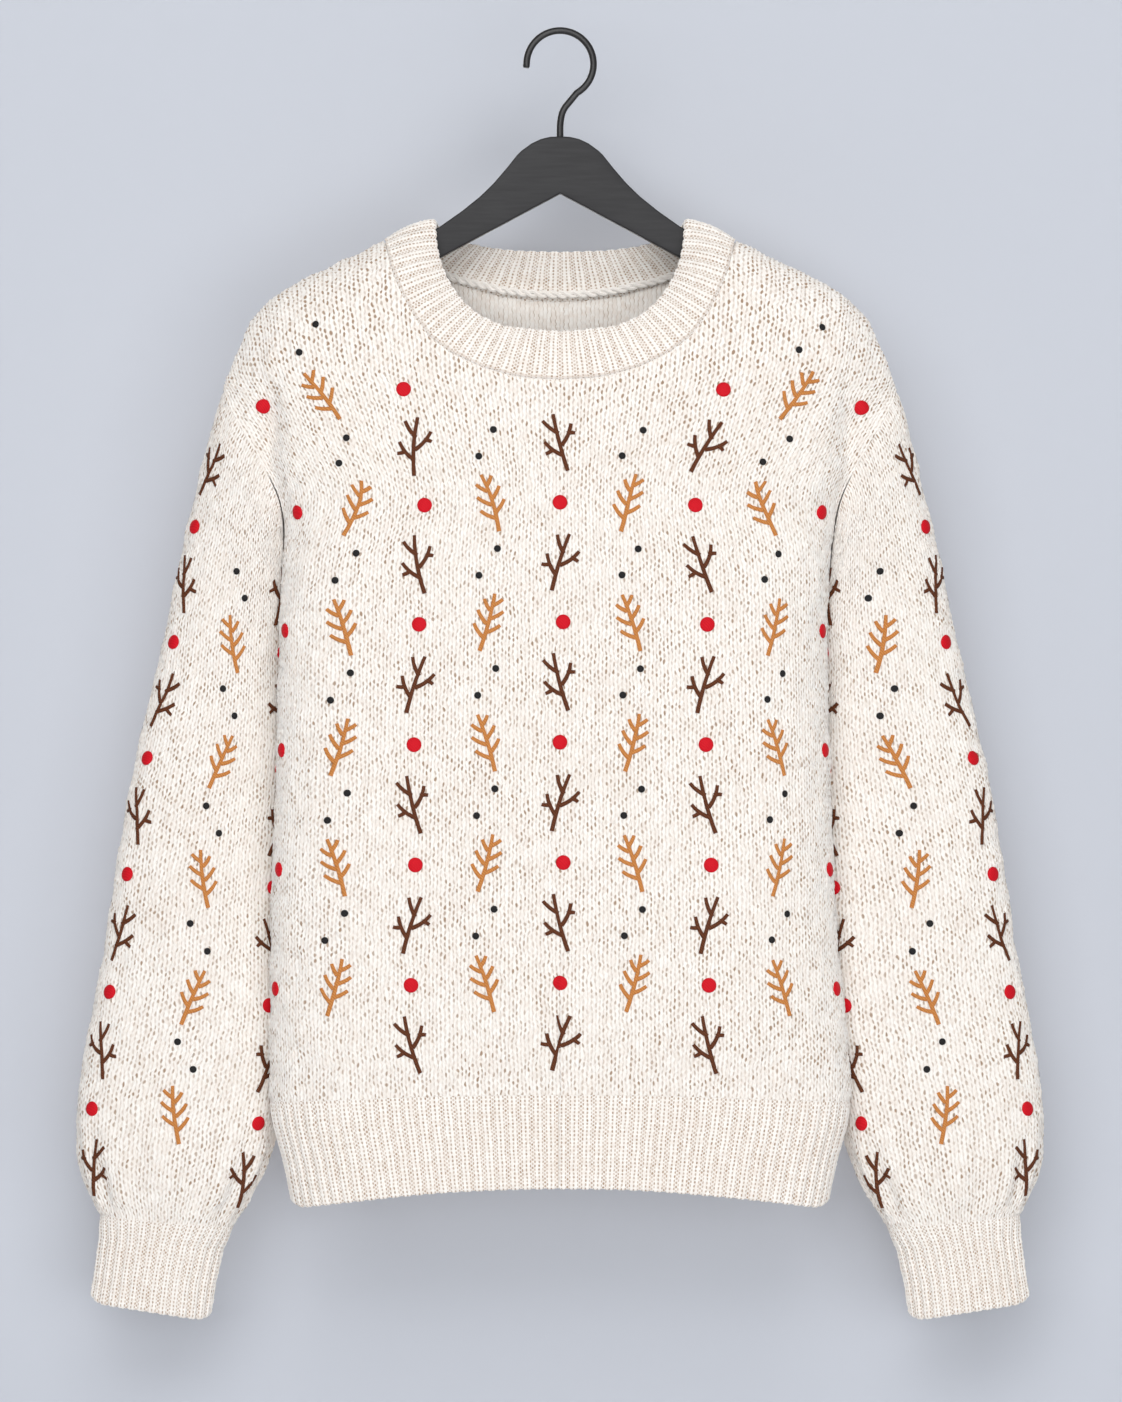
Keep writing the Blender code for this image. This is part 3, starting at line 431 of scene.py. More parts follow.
def linear(red, green, blue):
    # A colour given in 0 to 255 as a screen shows it.
    shown = np.array((red, green, blue)) / 255.0
    return tuple(np.where(shown <= 0.04045, shown / 12.92, ((shown + 0.055) / 1.055) ** 2.4)) + (1.0,)


def math(tree, operation, *values):
    node = tree.nodes.new("ShaderNodeMath")
    node.operation = operation
    for socket, value in zip(node.inputs, values):
        if isinstance(value, (int, float)):
            socket.default_value = value
        else:
            tree.links.new(value, socket)
    return node.outputs[0]


def plus(tree, first, second):
    return math(tree, "ADD", first, second)


def less(tree, first, second):
    return math(tree, "SUBTRACT", first, second)


def times(tree, first, second):
    return math(tree, "MULTIPLY", first, second)


def offMiddle(tree, value):
    # How far a value is from the middle of its whole number, with its sign.
    return less(tree, math(tree, "FRACT", value), 0.5)


def smoothStep(tree, value, low, high, first=0.0, last=1.0):
    node = tree.nodes.new("ShaderNodeMapRange")
    node.interpolation_type = "SMOOTHSTEP"
    tree.links.new(value, node.inputs["Value"])
    node.inputs["From Min"].default_value = low
    node.inputs["From Max"].default_value = high
    node.inputs["To Min"].default_value = first
    node.inputs["To Max"].default_value = last
    return node.outputs["Result"]


def mixColour(tree, share, first, second):
    node = tree.nodes.new("ShaderNodeMix")
    node.data_type = "RGBA"
    sockets = [socket for socket in node.inputs if socket.enabled]
    for socket, value in zip(sockets, (share, first, second)):
        if isinstance(value, (int, float, tuple)):
            socket.default_value = value
        else:
            tree.links.new(value, socket)
    return [socket for socket in node.outputs if socket.enabled][0]


def vector(tree, x, y, z):
    node = tree.nodes.new("ShaderNodeCombineXYZ")
    for socket, value in zip(node.inputs, (x, y, z)):
        if isinstance(value, (int, float)):
            socket.default_value = value
        else:
            tree.links.new(value, socket)
    return node.outputs["Vector"]


def noiseAt(tree, place, scale, detail):
    texture = tree.nodes.new("ShaderNodeTexNoise")
    texture.inputs["Scale"].default_value = scale
    texture.inputs["Detail"].default_value = detail
    tree.links.new(place, texture.inputs["Vector"])
    return texture.outputs["Fac"]


def noise(tree, scale, detail, stretch=(1.0, 1.0, 1.0), shift=(0.0, 0.0, 0.0)):
    place = tree.nodes.new("ShaderNodeTexCoord")
    mapping = tree.nodes.new("ShaderNodeMapping")
    mapping.inputs["Scale"].default_value = stretch
    mapping.inputs["Location"].default_value = shift
    tree.links.new(place.outputs["Object"], mapping.inputs["Vector"])
    return noiseAt(tree, mapping.outputs["Vector"], scale, detail)


def bump(tree, height, strength, distance):
    node = tree.nodes.new("ShaderNodeBump")
    node.inputs["Strength"].default_value = strength
    node.inputs["Distance"].default_value = distance
    tree.links.new(height, node.inputs["Height"])
    return node.outputs["Normal"]


def knitPlace(tree, wanderAcross, wanderUp):
    # Wales and courses, wandering a little as washed stitches do.
    uv = tree.nodes.new("ShaderNodeUVMap")
    uv.uv_map = "knit"
    parts = tree.nodes.new("ShaderNodeSeparateXYZ")
    tree.links.new(uv.outputs["UV"], parts.inputs["Vector"])
    aside = times(tree, less(tree, noise(tree, 110.0, 2.0), 0.5), wanderAcross)
    along = times(tree, less(tree, noise(tree, 90.0, 2.0, shift=(3.0, 5.0, 7.0)), 0.5), wanderUp)
    return plus(tree, parts.outputs["X"], aside), plus(tree, parts.outputs["Y"], along)


def luck(tree, across, up, draw):
    # A random share for each stitch.
    random = tree.nodes.new("ShaderNodeTexWhiteNoise")
    random.noise_dimensions = "3D"
    place = vector(tree, math(tree, "FLOOR", across), math(tree, "FLOOR", up), draw)
    tree.links.new(place, random.inputs["Vector"])
    return random.outputs["Value"]


def newGroup(name):
    tree = bpy.data.node_groups.new(name, "ShaderNodeTree")
    tree.interface.new_socket(name="Color", in_out="OUTPUT", socket_type="NodeSocketColor")
    tree.interface.new_socket(name="Normal", in_out="OUTPUT", socket_type="NodeSocketVector")
    return tree, tree.nodes.new("NodeGroupOutput")


def endGroup(tree, out, colour, normal):
    tree.links.new(colour, out.inputs["Color"])
    tree.links.new(normal, out.inputs["Normal"])
    return tree


yarn = {
    "light": linear(255, 253, 250),
    "plain": linear(246, 240, 234),
    # the colour of painted shade in holes, crevices, sunk wales and along the neckband's seam
    "deep": linear(181, 156, 133),
    # how much broad patches, single stitches and fibres change the tone
    "patchScale": 34.0,
    "patch": 0.3,
    "stitch": 0.3,
    "fibre": 1.1,
    "toneFrom": 0.5,
    "toneTo": 1.08,
    "fuzzScale": 1500.0,
    "bump": 0.8,
}


def yarnTone(tree, stitch, fibre):
    # Soft unevenness of the yarn: in broad patches, from stitch to stitch, and along its fibres.
    broad = times(tree, noise(tree, yarn["patchScale"], 3.0), yarn["patch"])
    tone = plus(tree, broad, times(tree, stitch, yarn["stitch"]))
    tone = plus(tree, tone, times(tree, fibre, yarn["fibre"]))
    share = smoothStep(tree, tone, yarn["toneFrom"], yarn["toneTo"])
    return mixColour(tree, share, yarn["plain"], yarn["light"])


def hole(tree, across, up, size, odds):
    # A small dark oval of painted shade between the loops, fainter or stronger from stitch to stitch.
    wide, high, least = size
    x = math(tree, "POWER", math(tree, "ABSOLUTE", math(tree, "DIVIDE", across, wide)), 2.0)
    y = math(tree, "POWER", math(tree, "ABSOLUTE", math(tree, "DIVIDE", up, high)), 2.0)
    oval = smoothStep(tree, plus(tree, x, y), 0.2, 1.5, 1.0, 0.0)
    strength = plus(tree, times(tree, math(tree, "POWER", odds, 1.7), 1.0 - least), least)
    return times(tree, oval, strength)


stockinetteLook = {
    "wanderAcross": 0.75,
    "wanderUp": 1.1,
    # ovals of painted shade in the holes, and lines of it between the legs
    "hole": (0.14, 0.37, 0.12),  # width in wales, height in courses, least strength
    "between": 0.15,
    # the painted shade in the holes is stronger in patches, and where the knit is stretched over the
    # shoulders
    "patchScale": 21.0,
    "patchLeast": 0.7,
    "shoulderFrom": -0.31,
    "shoulderTo": -0.17,
    "shoulderOpen": 0.4,
    "legHeight": 0.5,
    "waveHeight": 0.16,
    "holeDepth": 0.5,
    "fibreHeight": 0.8,
    "fuzz": 0.35,
    "depth": 0.0007,
}


def stockinetteGroup():
    look = stockinetteLook
    tree, out = newGroup("stockinette")
    u, v = knitPlace(tree, look["wanderAcross"], look["wanderUp"])
    a = math(tree, "ABSOLUTE", offMiddle(tree, u))
    row = less(tree, v, times(tree, a, knit["legRise"]))
    offLeg = times(tree, math(tree, "ABSOLUTE", less(tree, a, 0.25)), 4.0)
    legs = less(tree, 1.0, math(tree, "POWER", offLeg, 2.0))
    uNext = plus(tree, u, 0.5)
    vNext = plus(tree, v, 0.5)
    first = hole(tree, a, offMiddle(tree, v), look["hole"], luck(tree, u, v, 1.0))
    secondLuck = luck(tree, uNext, vNext, 2.0)
    second = hole(tree, less(tree, 0.5, a), offMiddle(tree, vNext), look["hole"], secondLuck)
    holes = math(tree, "MAXIMUM", first, second)
    place = tree.nodes.new("ShaderNodeTexCoord")
    parts = tree.nodes.new("ShaderNodeSeparateXYZ")
    tree.links.new(place.outputs["Object"], parts.inputs["Vector"])
    patches = smoothStep(tree, noise(tree, look["patchScale"], 2.0), 0.36, 0.62, look["patchLeast"], 1.0)
    upZ = parts.outputs["Z"]
    stretched = smoothStep(tree, upZ, look["shoulderFrom"], look["shoulderTo"], 0.0, look["shoulderOpen"])
    # painted shade: the holes between the loops, and the crevices between the legs
    holeShade = times(tree, holes, plus(tree, patches, stretched))
    between = times(tree, smoothStep(tree, offLeg, 0.5, 1.0), look["between"])
    # fibres run along the legs, and differ from one leg to the next
    side = times(tree, math(tree, "FLOOR", times(tree, u, 2.0)), 3.7)
    acrossLeg = less(tree, times(tree, a, 7.5), times(tree, v, 1.25))
    alongLeg = plus(tree, times(tree, a, 0.3), times(tree, v, 1.3))
    fibre = noiseAt(tree, vector(tree, acrossLeg, alongLeg, side), 1.0, 2.0)
    tone = yarnTone(tree, luck(tree, times(tree, u, 2.0), row, 3.0), fibre)
    colour = mixColour(tree, plus(tree, holeShade, between), tone, yarn["deep"])
    wave = math(tree, "COSINE", times(tree, row, 2.0 * np.pi))
    height = plus(tree, times(tree, legs, look["legHeight"]), times(tree, wave, look["waveHeight"]))
    height = less(tree, height, times(tree, holes, look["holeDepth"]))
    fuzz = times(tree, noise(tree, yarn["fuzzScale"], 2.0), look["fuzz"])
    height = plus(tree, height, plus(tree, times(tree, fibre, look["fibreHeight"]), fuzz))
    return endGroup(tree, out, colour, bump(tree, height, yarn["bump"], look["depth"]))


ribLook = {
    "wanderAcross": 0.15,
    "wanderUp": 0.9,
    "legAt": 0.165,
    "edgeAt": 0.33,
    # ovals of painted shade: width in ribs, height in courses, least strength
    "middle": (0.075, 0.36, 0.6),
    "edge": (0.065, 0.36, 0.55),
    "back": (0.09, 0.32, 0.5),
    "sunkShade": 0.05,
    # painted shade along the line where the neckband is sewn on, whose courses count from 100
    "seamShadeFrom": (99.6, 99.9),
    "seamShadeTo": (100.3, 101.0),
    "seamShade": 0.3,
    "legHeight": 0.55,
    "purlHeight": 0.45,
    "middleDepth": 0.3,
    "fibreHeight": 0.8,
    "fuzz": 0.45,
    "depth": 0.0007,
}


def ribGroup():
    look = ribLook
    tree, out = newGroup("rib stitches")
    u, v = knitPlace(tree, look["wanderAcross"], look["wanderUp"])
    a = math(tree, "ABSOLUTE", offMiddle(tree, u))
    vNext = plus(tree, v, 0.5)
    offLeg = times(tree, math(tree, "ABSOLUTE", less(tree, a, look["legAt"])), 7.0)
    legs = less(tree, 1.0, math(tree, "MINIMUM", math(tree, "POWER", offLeg, 2.0), 1.0))
    # painted shade in the hole between a rib's two legs
    middle = hole(tree, a, offMiddle(tree, v), look["middle"], luck(tree, u, v, 1.0))
    # the purl wales stand back and are painted a little darker as shade, with small bumps between dashes
    # of painted shade
    sunk = times(tree, smoothStep(tree, a, 0.26, 0.36), smoothStep(tree, v, 0.0, 7.0))
    edgeLuck = luck(tree, times(tree, u, 2.0), v, 2.0)
    backLuck = luck(tree, plus(tree, u, 0.5), vNext, 3.0)
    edges = hole(tree, less(tree, a, look["edgeAt"]), offMiddle(tree, v), look["edge"], edgeLuck)
    backs = hole(tree, less(tree, 0.5, a), offMiddle(tree, vNext), look["back"], backLuck)
    dashes = math(tree, "MAXIMUM", edges, backs)
    # a line of painted shade where the neckband is sewn on
    seamShadeStart = smoothStep(tree, v, *look["seamShadeFrom"])
    seam = times(tree, seamShadeStart, smoothStep(tree, v, *look["seamShadeTo"], 1.0, 0.0))
    shade = math(tree, "MAXIMUM", middle, dashes)
    shade = math(tree, "MAXIMUM", shade, times(tree, sunk, look["sunkShade"]))
    shade = math(tree, "MAXIMUM", shade, times(tree, seam, look["seamShade"]))
    side = times(tree, math(tree, "FLOOR", times(tree, u, 2.0)), 3.7)
    fibre = noiseAt(tree, vector(tree, times(tree, a, 9.0), times(tree, v, 1.2), side), 1.0, 2.0)
    stitch = luck(tree, times(tree, u, 2.0), plus(tree, v, times(tree, a, knit["legRise"])), 4.0)
    colour = mixColour(tree, shade, yarnTone(tree, stitch, fibre), yarn["deep"])
    bumps = times(tree, sunk, less(tree, 1.0, dashes))
    height = plus(tree, times(tree, legs, look["legHeight"]), times(tree, bumps, look["purlHeight"]))
    height = less(tree, height, times(tree, middle, look["middleDepth"]))
    fuzz = times(tree, noise(tree, yarn["fuzzScale"], 2.0), look["fuzz"])
    height = plus(tree, height, plus(tree, times(tree, fibre, look["fibreHeight"]), fuzz))
    return endGroup(tree, out, colour, bump(tree, height, yarn["bump"], look["depth"]))


purlLook = {
    "wanderAcross": 0.5,
    "wanderUp": 1.0,
    # dots of painted shade in the holes
    "dot": (0.17, 0.34, 0.25),  # width in half wales, height in courses, least strength
    "dotShade": 0.75,
    "ridgeHeight": 0.16,
    "loopHeight": 0.12,
    "dotDepth": 0.4,
    "fibreHeight": 0.7,
    "depth": 0.0008,
}


def purlGroup():
    look = purlLook
    tree, out = newGroup("purl side")
    u, v = knitPlace(tree, look["wanderAcross"], look["wanderUp"])
    half = times(tree, u, 2.0)
    a = math(tree, "ABSOLUTE", offMiddle(tree, half))
    vNext = plus(tree, v, times(tree, math(tree, "FLOOR", half), 0.5))
    dotLuck = luck(tree, plus(tree, half, 0.5), vNext, 1.0)
    # dots of painted shade in the holes between the loops
    dots = hole(tree, less(tree, 0.5, a), offMiddle(tree, vNext), look["dot"], dotLuck)
    ridges = math(tree, "COSINE", times(tree, a, 2.0 * np.pi))
    loops = math(tree, "COSINE", times(tree, vNext, 2.0 * np.pi))
    fibre = noiseAt(tree, vector(tree, times(tree, a, 4.0), times(tree, v, 1.2), half), 1.0, 2.0)
    tone = yarnTone(tree, luck(tree, half, vNext, 2.0), fibre)
    colour = mixColour(tree, times(tree, dots, look["dotShade"]), tone, yarn["deep"])
    height = plus(tree, times(tree, ridges, look["ridgeHeight"]), times(tree, loops, look["loopHeight"]))
    height = less(tree, height, times(tree, dots, look["dotDepth"]))
    height = plus(tree, height, times(tree, fibre, look["fibreHeight"]))
    return endGroup(tree, out, colour, bump(tree, height, yarn["bump"], look["depth"]))


def newMaterial(name, group, finish):
    material = bpy.data.materials.new(name)
    material.use_nodes = True
    tree = material.node_tree
    surface = tree.nodes["Principled BSDF"]
    for socket, value in finish.items():
        surface.inputs[socket].default_value = value
    node = tree.nodes.new("ShaderNodeGroup")
    node.node_tree = group
    tree.links.new(node.outputs["Color"], surface.inputs["Base Color"])
    tree.links.new(node.outputs["Normal"], surface.inputs["Normal"])
    return material


woolFinish = {
    "Roughness": 0.92,
    "Diffuse Roughness": 1.0,
    "Specular IOR Level": 0.08,
    "Sheen Weight": 0.25,
    "Sheen Roughness": 0.5,
}
stockinette = newMaterial("stockinette", stockinetteGroup(), woolFinish)
ribbing = newMaterial("ribbing", ribGroup(), woolFinish)
purlSide = newMaterial("purl side", purlGroup(), woolFinish)
print("materials made")


def fanEdge(z):
    # Half the width that the wales fan out over, running on above the armholes.
    above = np.maximum(z - body["armholeTopZ"], 0.0)
    slope = float(bodyValue(1, body["armholeTopZ"]) - bodyValue(1, body["armholeTopZ"] - 4.0)) / 4.0
    return bodyValue(1, z) + slope * body["fanReach"] * (1.0 - np.exp(-above / body["fanReach"]))


def bodyLines(front):
    # Lines up the panel, four to a wale, from the hem to the neckline or the shoulder.
    count = body["wales"] * 4
    shares = np.linspace(-1.0, 1.0, count + 1)
    levels = np.arange(-700.0, -90.0, 2.0)
    spread = np.linspace(0.0, 1.0, 400)
    ratio = np.empty((len(levels), count + 1))
    for i, z in enumerate(levels):
        z = min(z, body["armholeTopZ"])
        edge = float(bodyValue(1, z))
        for side in (-1.0, 1.0):
            x = side * edge * (1.0 - (1.0 - spread) ** 2)
            y = bodyY(x, np.full_like(x, z), front)
            along = np.concatenate(((0.0,), np.cumsum(np.hypot(np.diff(x), np.diff(y)))))
            chosen = shares * side >= 0.0
            ratio[i, chosen] = np.interp(np.abs(shares[chosen]) * along[-1], along, x) / edge
    # even out how the wales fan, from level to level
    reach = int(body["fanSmooth"] / 2.0)
    kernel = np.hanning(2 * reach + 3)[1:-1]
    kernel /= kernel.sum()
    padded = np.pad(ratio, ((reach, reach), (0, 0)), mode="edge")
    steps = 1.0 - (1.0 - np.linspace(0.0, 1.0, 900)) ** 2
    fine = np.arange(-300.0, -100.0, 0.25)
    lines = np.empty((count + 1, len(steps), 3))
    for q in range(count + 1):
        across = np.convolve(padded[:, q], kernel, "valid") * fanEdge(levels)
        short = topZ(np.interp(fine, levels, across), front) - fine
        past = int(np.argmax(short <= 0.0))
        end = float(np.interp(0.0, (short[past], short[past - 1]), (fine[past], fine[past - 1])))
        start = float(hemTopZ(np.interp(body["hemTopZ"], levels, across)))
        z = start + (end - start) * steps
        lines[q, :, 0] = np.interp(z, levels, across)
        lines[q, :, 2] = z
    gap = -body["seamGap"] if front else body["seamGap"]
    lines[..., 1] = bodyY(lines[..., 0], lines[..., 2], front) + gap
    # the shoulder seam closes on the ridge
    onRidge = np.abs(lines[:, -1, 0]) > body["neckX"]
    lines[onRidge, -1, 1] = gap
    return lines


def distances(lines, course):
    steps = np.linalg.norm(np.diff(lines, axis=1), axis=2)
    return np.concatenate((np.zeros((len(lines), 1)), np.cumsum(steps, axis=1)), axis=1) / course


def clip(wanted, tops):
    # Rows held between a panel's two ends, and the row whose corner each place shares.
    v = np.clip(wanted, 0.0, tops)
    v = np.where(v > tops - 0.15, tops, v)
    v = np.where(v < 0.1, 0.0, v)
    rows = np.arange(len(v))[:, None]
    first = (v <= 0.0).sum(axis=0) - 1
    last = len(v) - (v >= tops).sum(axis=0)
    return v, np.clip(rows, first, last)


# heights of a stitch's corners: the hole line, a leg, the hole line, a leg
stitchHeights = np.array((
    (0.35, 1.0, 0.35, 1.0),
    (-0.75, 0.4, -0.75, 0.4),
))


def lumps(points):
    # The soft unevenness of worn, washed knit.
    x = points[..., 0]
    z = points[..., 2]
    first = np.sin(0.21 * x + 0.13 * z) + np.sin(0.17 * z - 0.12 * x + 2.0)
    second = np.sin(0.31 * z + 0.09 * x + 4.0) + np.sin(0.38 * x - 0.07 * z + 1.0)
    return knit["lump"] * (first + 0.7 * second)


def stitchLayer(shell, lines, normals, along, wraps):
    # Rows that run up and down like the legs of the stitches, with holes sunk between them.
    count = len(lines)
    tops = along[:, -1]
    columns = np.arange(count)
    fraction = (columns % 4) / 4.0
    rows = np.arange(-3, int(np.ceil(tops.max() * 2.0)) + 2)
    wanted = rows[:, None] / 2.0 + knit["legRise"] * np.abs(fraction - 0.5)
    v, keep = clip(wanted, tops)
    points = readLines(lines, along, v)
    outward = unit(readLines(normals, along, v))
    height = stitchHeights[rows[:, None] % 2, columns[None, :] % 4] * knit["relief"]
    height = height * chance.uniform(*knit["reliefLuck"], height.shape) + lumps(points)
    off = (tops - v) * knit["course"]
    if not wraps:
        off = np.minimum(off, np.minimum(columns, count - 1 - columns) * knit["wale"] / 4.0)
    seam = 1.0 - ease(off / knit["seamReach"])
    start = 1.0 - ease(v * knit["course"] / knit["seamReach"])
    free = (1.0 - seam) * (1.0 - start)
    atNeck = np.abs(points[..., 0]) < body["neckX"] + 2.0
    height = height * free - np.where(atNeck, knit["neckDip"], knit["seamDip"]) * seam
    shift = chance.uniform(-1.0, 1.0, points.shape) * knit["uneven"]
    points = points + outward * height[..., None] + shift * free[..., None]
    u = columns / 4.0
    width = count if wraps else count - 1
    if wraps:
        u = np.append(u, count / 4.0)
        v = np.concatenate((v, v[:, :1]), axis=1)
    knitUv = np.stack((np.broadcast_to(u, v.shape), v), axis=-1)
    across = knitUv[..., 0] * 4.0 / width * bake["outerWide"]
    bakeUv = np.stack((across, v / tops.max() * bake["high"]), axis=-1)
    ids = addLayer(shell, points, keep, knitUv, bakeUv, 0, wraps)
    return ids, v, tops


def insideLayer(shell, lines, normals, along, wraps):
    # The smooth purl side, one column a wale.
    lines = lines[::4]
    normals = normals[::4]
    along = along[::4]
    count = len(lines)
    tops = along[:, -1]
    rows = np.arange(0, int(np.ceil(tops.max() / 2.0)) + 1)
    v, keep = clip(np.broadcast_to(rows[:, None] * 2.0, (len(rows), count)), tops)
    points = readLines(lines, along, v)
    inward = unit(readLines(normals, along, v))
    off = np.minimum(v, tops - v) * knit["course"]
    if not wraps:
        columns = np.arange(count)
        off = np.minimum(off, np.minimum(columns, count - 1 - columns) * knit["wale"])
    deep = knit["seamWall"] + (knit["wall"] - knit["seamWall"]) * ease(off / knit["wallFade"])
    points = points - inward * deep[..., None]
    u = np.arange(count + 1 if wraps else count) * 1.0
    if wraps:
        v = np.concatenate((v, v[:, :1]), axis=1)
    knitUv = np.stack((np.broadcast_to(u, v.shape), v), axis=-1)
    across = bake["innerFrom"] + u / u[-1] * bake["innerWide"] + 0.0 * v
    bakeUv = np.stack((across, v / tops.max() * bake["high"]), axis=-1)
    ids = addLayer(shell, points, keep, knitUv, bakeUv, 1, wraps)
    return ids, v


def evenShares(corners):
    return np.arange(len(corners)) / (len(corners) - 1)


def declareKnit(nodes):
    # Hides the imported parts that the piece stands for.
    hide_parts(*nodes)


def makePanel(name, front, nodes):
    shell = newShell()
    lines = bodyLines(front)
    normals = lineNormals(lines, False)
    if (normals[len(lines) // 2, 0, 1] > 0) == front:
        normals = -normals
    along = distances(lines, knit["course"])
    outer, v, tops = stitchLayer(shell, lines, normals, along, False)
    inner, vInner = insideLayer(shell, lines, normals, along, False)
    for row, band in bake["panelEnds"]:
        addRim(shell, outer[row], evenShares(outer[row]), inner[row], evenShares(inner[row]), band)
    for column, band in bake["panelSides"]:
        up = v[:, column] / tops[column]
        upInner = vInner[:, column] / tops[column]
        addRim(shell, outer[:, column], up, inner[:, column], upInner, band)
    piece = finishShell(shell, name, (stockinette, purlSide))
    declareKnit(nodes)
    return chart(lines, normals, along)


def chart(lines, normals, along):
    # Even samples of the cloth's surface, for what is sewn on it.
    rows = np.arange(int(np.ceil(along[:, -1].max() * 2.0)) + 1) / 2.0
    v = np.minimum(rows[:, None], along[:, -1])
    points = readLines(lines, along, v)
    outward = unit(readLines(normals, along, v))
    return {
        "points": points + outward * lumps(points)[..., None],
        "normals": outward,
        "tops": along[:, -1],
    }


charts = {}
charts["front"] = makePanel("frontPanel", True, ("front_upper", "front_lower"))
charts["back"] = makePanel("backPanel", False, ("back_upper", "back_lower"))


sleeve = {
    # z, x of the outer edge
    "outer": [
        (-232.7, 220.9),
        (-250.9, 225.3),
        (-276.9, 231.9),
        (-302.9, 238.0),
        (-341.9, 247.7),
        (-367.9, 254.2),
        (-432.9, 268.1),
        (-510.9, 283.7),
        (-562.9, 293.8),
        (-614.9, 301.6),
        (-666.9, 310.0),
        (-692.9, 313.4),
        (-712.0, 314.8),
        (-724.0, 314.4),
        (-736.0, 312.2),
        (-750.0, 307.5),
        (-760.0, 303.0),
        (-768.0, 300.2),
    ],
    # z, x of the inner edge
    "inner": [
        (-342.0, 177.9),
        (-350.0, 177.4),
        (-373.0, 172.0),
        (-400.0, 168.6),
        (-450.0, 167.6),
        (-500.0, 168.8),
        (-600.0, 172.6),
        (-650.0, 176.6),
        (-690.0, 181.4),
        (-705.0, 183.6),
        (-718.9, 186.0),
        (-731.9, 190.4),
        (-744.9, 196.2),
        (-757.9, 203.2),
        (-768.0, 209.4),
        (-776.0, 213.0),
    ],
    # share of the way down, half depth, y of the middle
    "depth": [
        (0.0, 31.0, 0.0),
        (0.04, 32.5, 2.0),
        (0.10, 33.0, 9.0),
        (0.15, 33.0, 14.5),
        (0.20, 33.0, 18.5),
        (0.30, 33.0, 22.5),
        (0.50, 35.0, 24.0),
        (0.70, 37.0, 23.0),
        (0.85, 38.0, 21.0),
        (0.93, 36.5, 20.0),
        (0.97, 32.0, 19.0),
        (1.0, 26.0, 18.0),
    ],
    "topZ": -232.7,
    "length": 535.3,
    "slant": 109.3,
    "endSlant": 8.0,
    "slantPower": 2.3,
    "gathers": 12,
    "gatherHeight": 1.8,
    "gatherFrom": 0.86,
    "gatherFade": 0.1,
    "gatherEnd": 0.03,
    "swell": 1.2,
    "swellWave": 17.0,
    "seamFade": 0.16,
    "seamPush": 0.8,
    "seamGap": 0.3,
    # beside the body, the upper arm stands back
    "innerBack": 12.0,
    "innerBackStart": 0.1,
    "innerBackEnd": 0.7,
    "innerBackFade": 0.4,
    "square": 0.84,
    "wales": 60,
}
sleeveOuter = smoothCurve(sleeve["outer"], 1)
sleeveInner = smoothCurve(sleeve["inner"], 1)
sleeveDepth = [smoothCurve(sleeve["depth"], column) for column in range(3)]


def sleeveEnds(down):
    # Outer and inner ends of a round of the sleeve, as x, z.
    outerZ = sleeve["topZ"] - sleeve["length"] * down
    left = (1.0 - down) ** sleeve["slantPower"]
    slant = sleeve["endSlant"] + (sleeve["slant"] - sleeve["endSlant"]) * left
    innerZ = outerZ - slant
    return np.interp(outerZ, *sleeveOuter), outerZ, np.interp(innerZ, *sleeveInner), innerZ


def squared(turn, power):
    return np.sign(turn) * np.abs(turn) ** power


def armholeEdge(turn):
    # The armhole at an angle round the sleeve: 0 on the shoulder, half a turn at the underarm.
    z = body["armholeTopZ"] + (body["underarmZ"] - body["armholeTopZ"]) * (1.0 - np.cos(turn)) / 2.0
    x = bodyValue(1, z)
    y = np.where(np.sin(turn) < 0, bodyY(x, z, True), bodyY(x, z, False))
    y = np.where(np.abs(np.sin(turn)) < 1e-6, bodyValue(4, z), y)
    return np.stack((x, y, z), axis=-1)


def oval(outerX, outerZ, innerX, innerZ, deep, middleY, turn, power=sleeve["square"]):
    across = squared(np.cos(turn), power)
    x = (outerX + innerX) / 2.0 + across * (outerX - innerX) / 2.0
    z = (outerZ + innerZ) / 2.0 + across * (outerZ - innerZ) / 2.0
    y = middleY + deep * squared(np.sin(turn), power)
    return np.stack((x, y, z), axis=-1)


def seamAim(turn):
    # The way from the armhole's cut edge into the sleeve.
    low = (1.0 - np.cos(turn)) / 2.0
    return unit(np.stack((np.ones_like(low), np.zeros_like(low), -1.2 * (1.0 - low)), axis=-1))


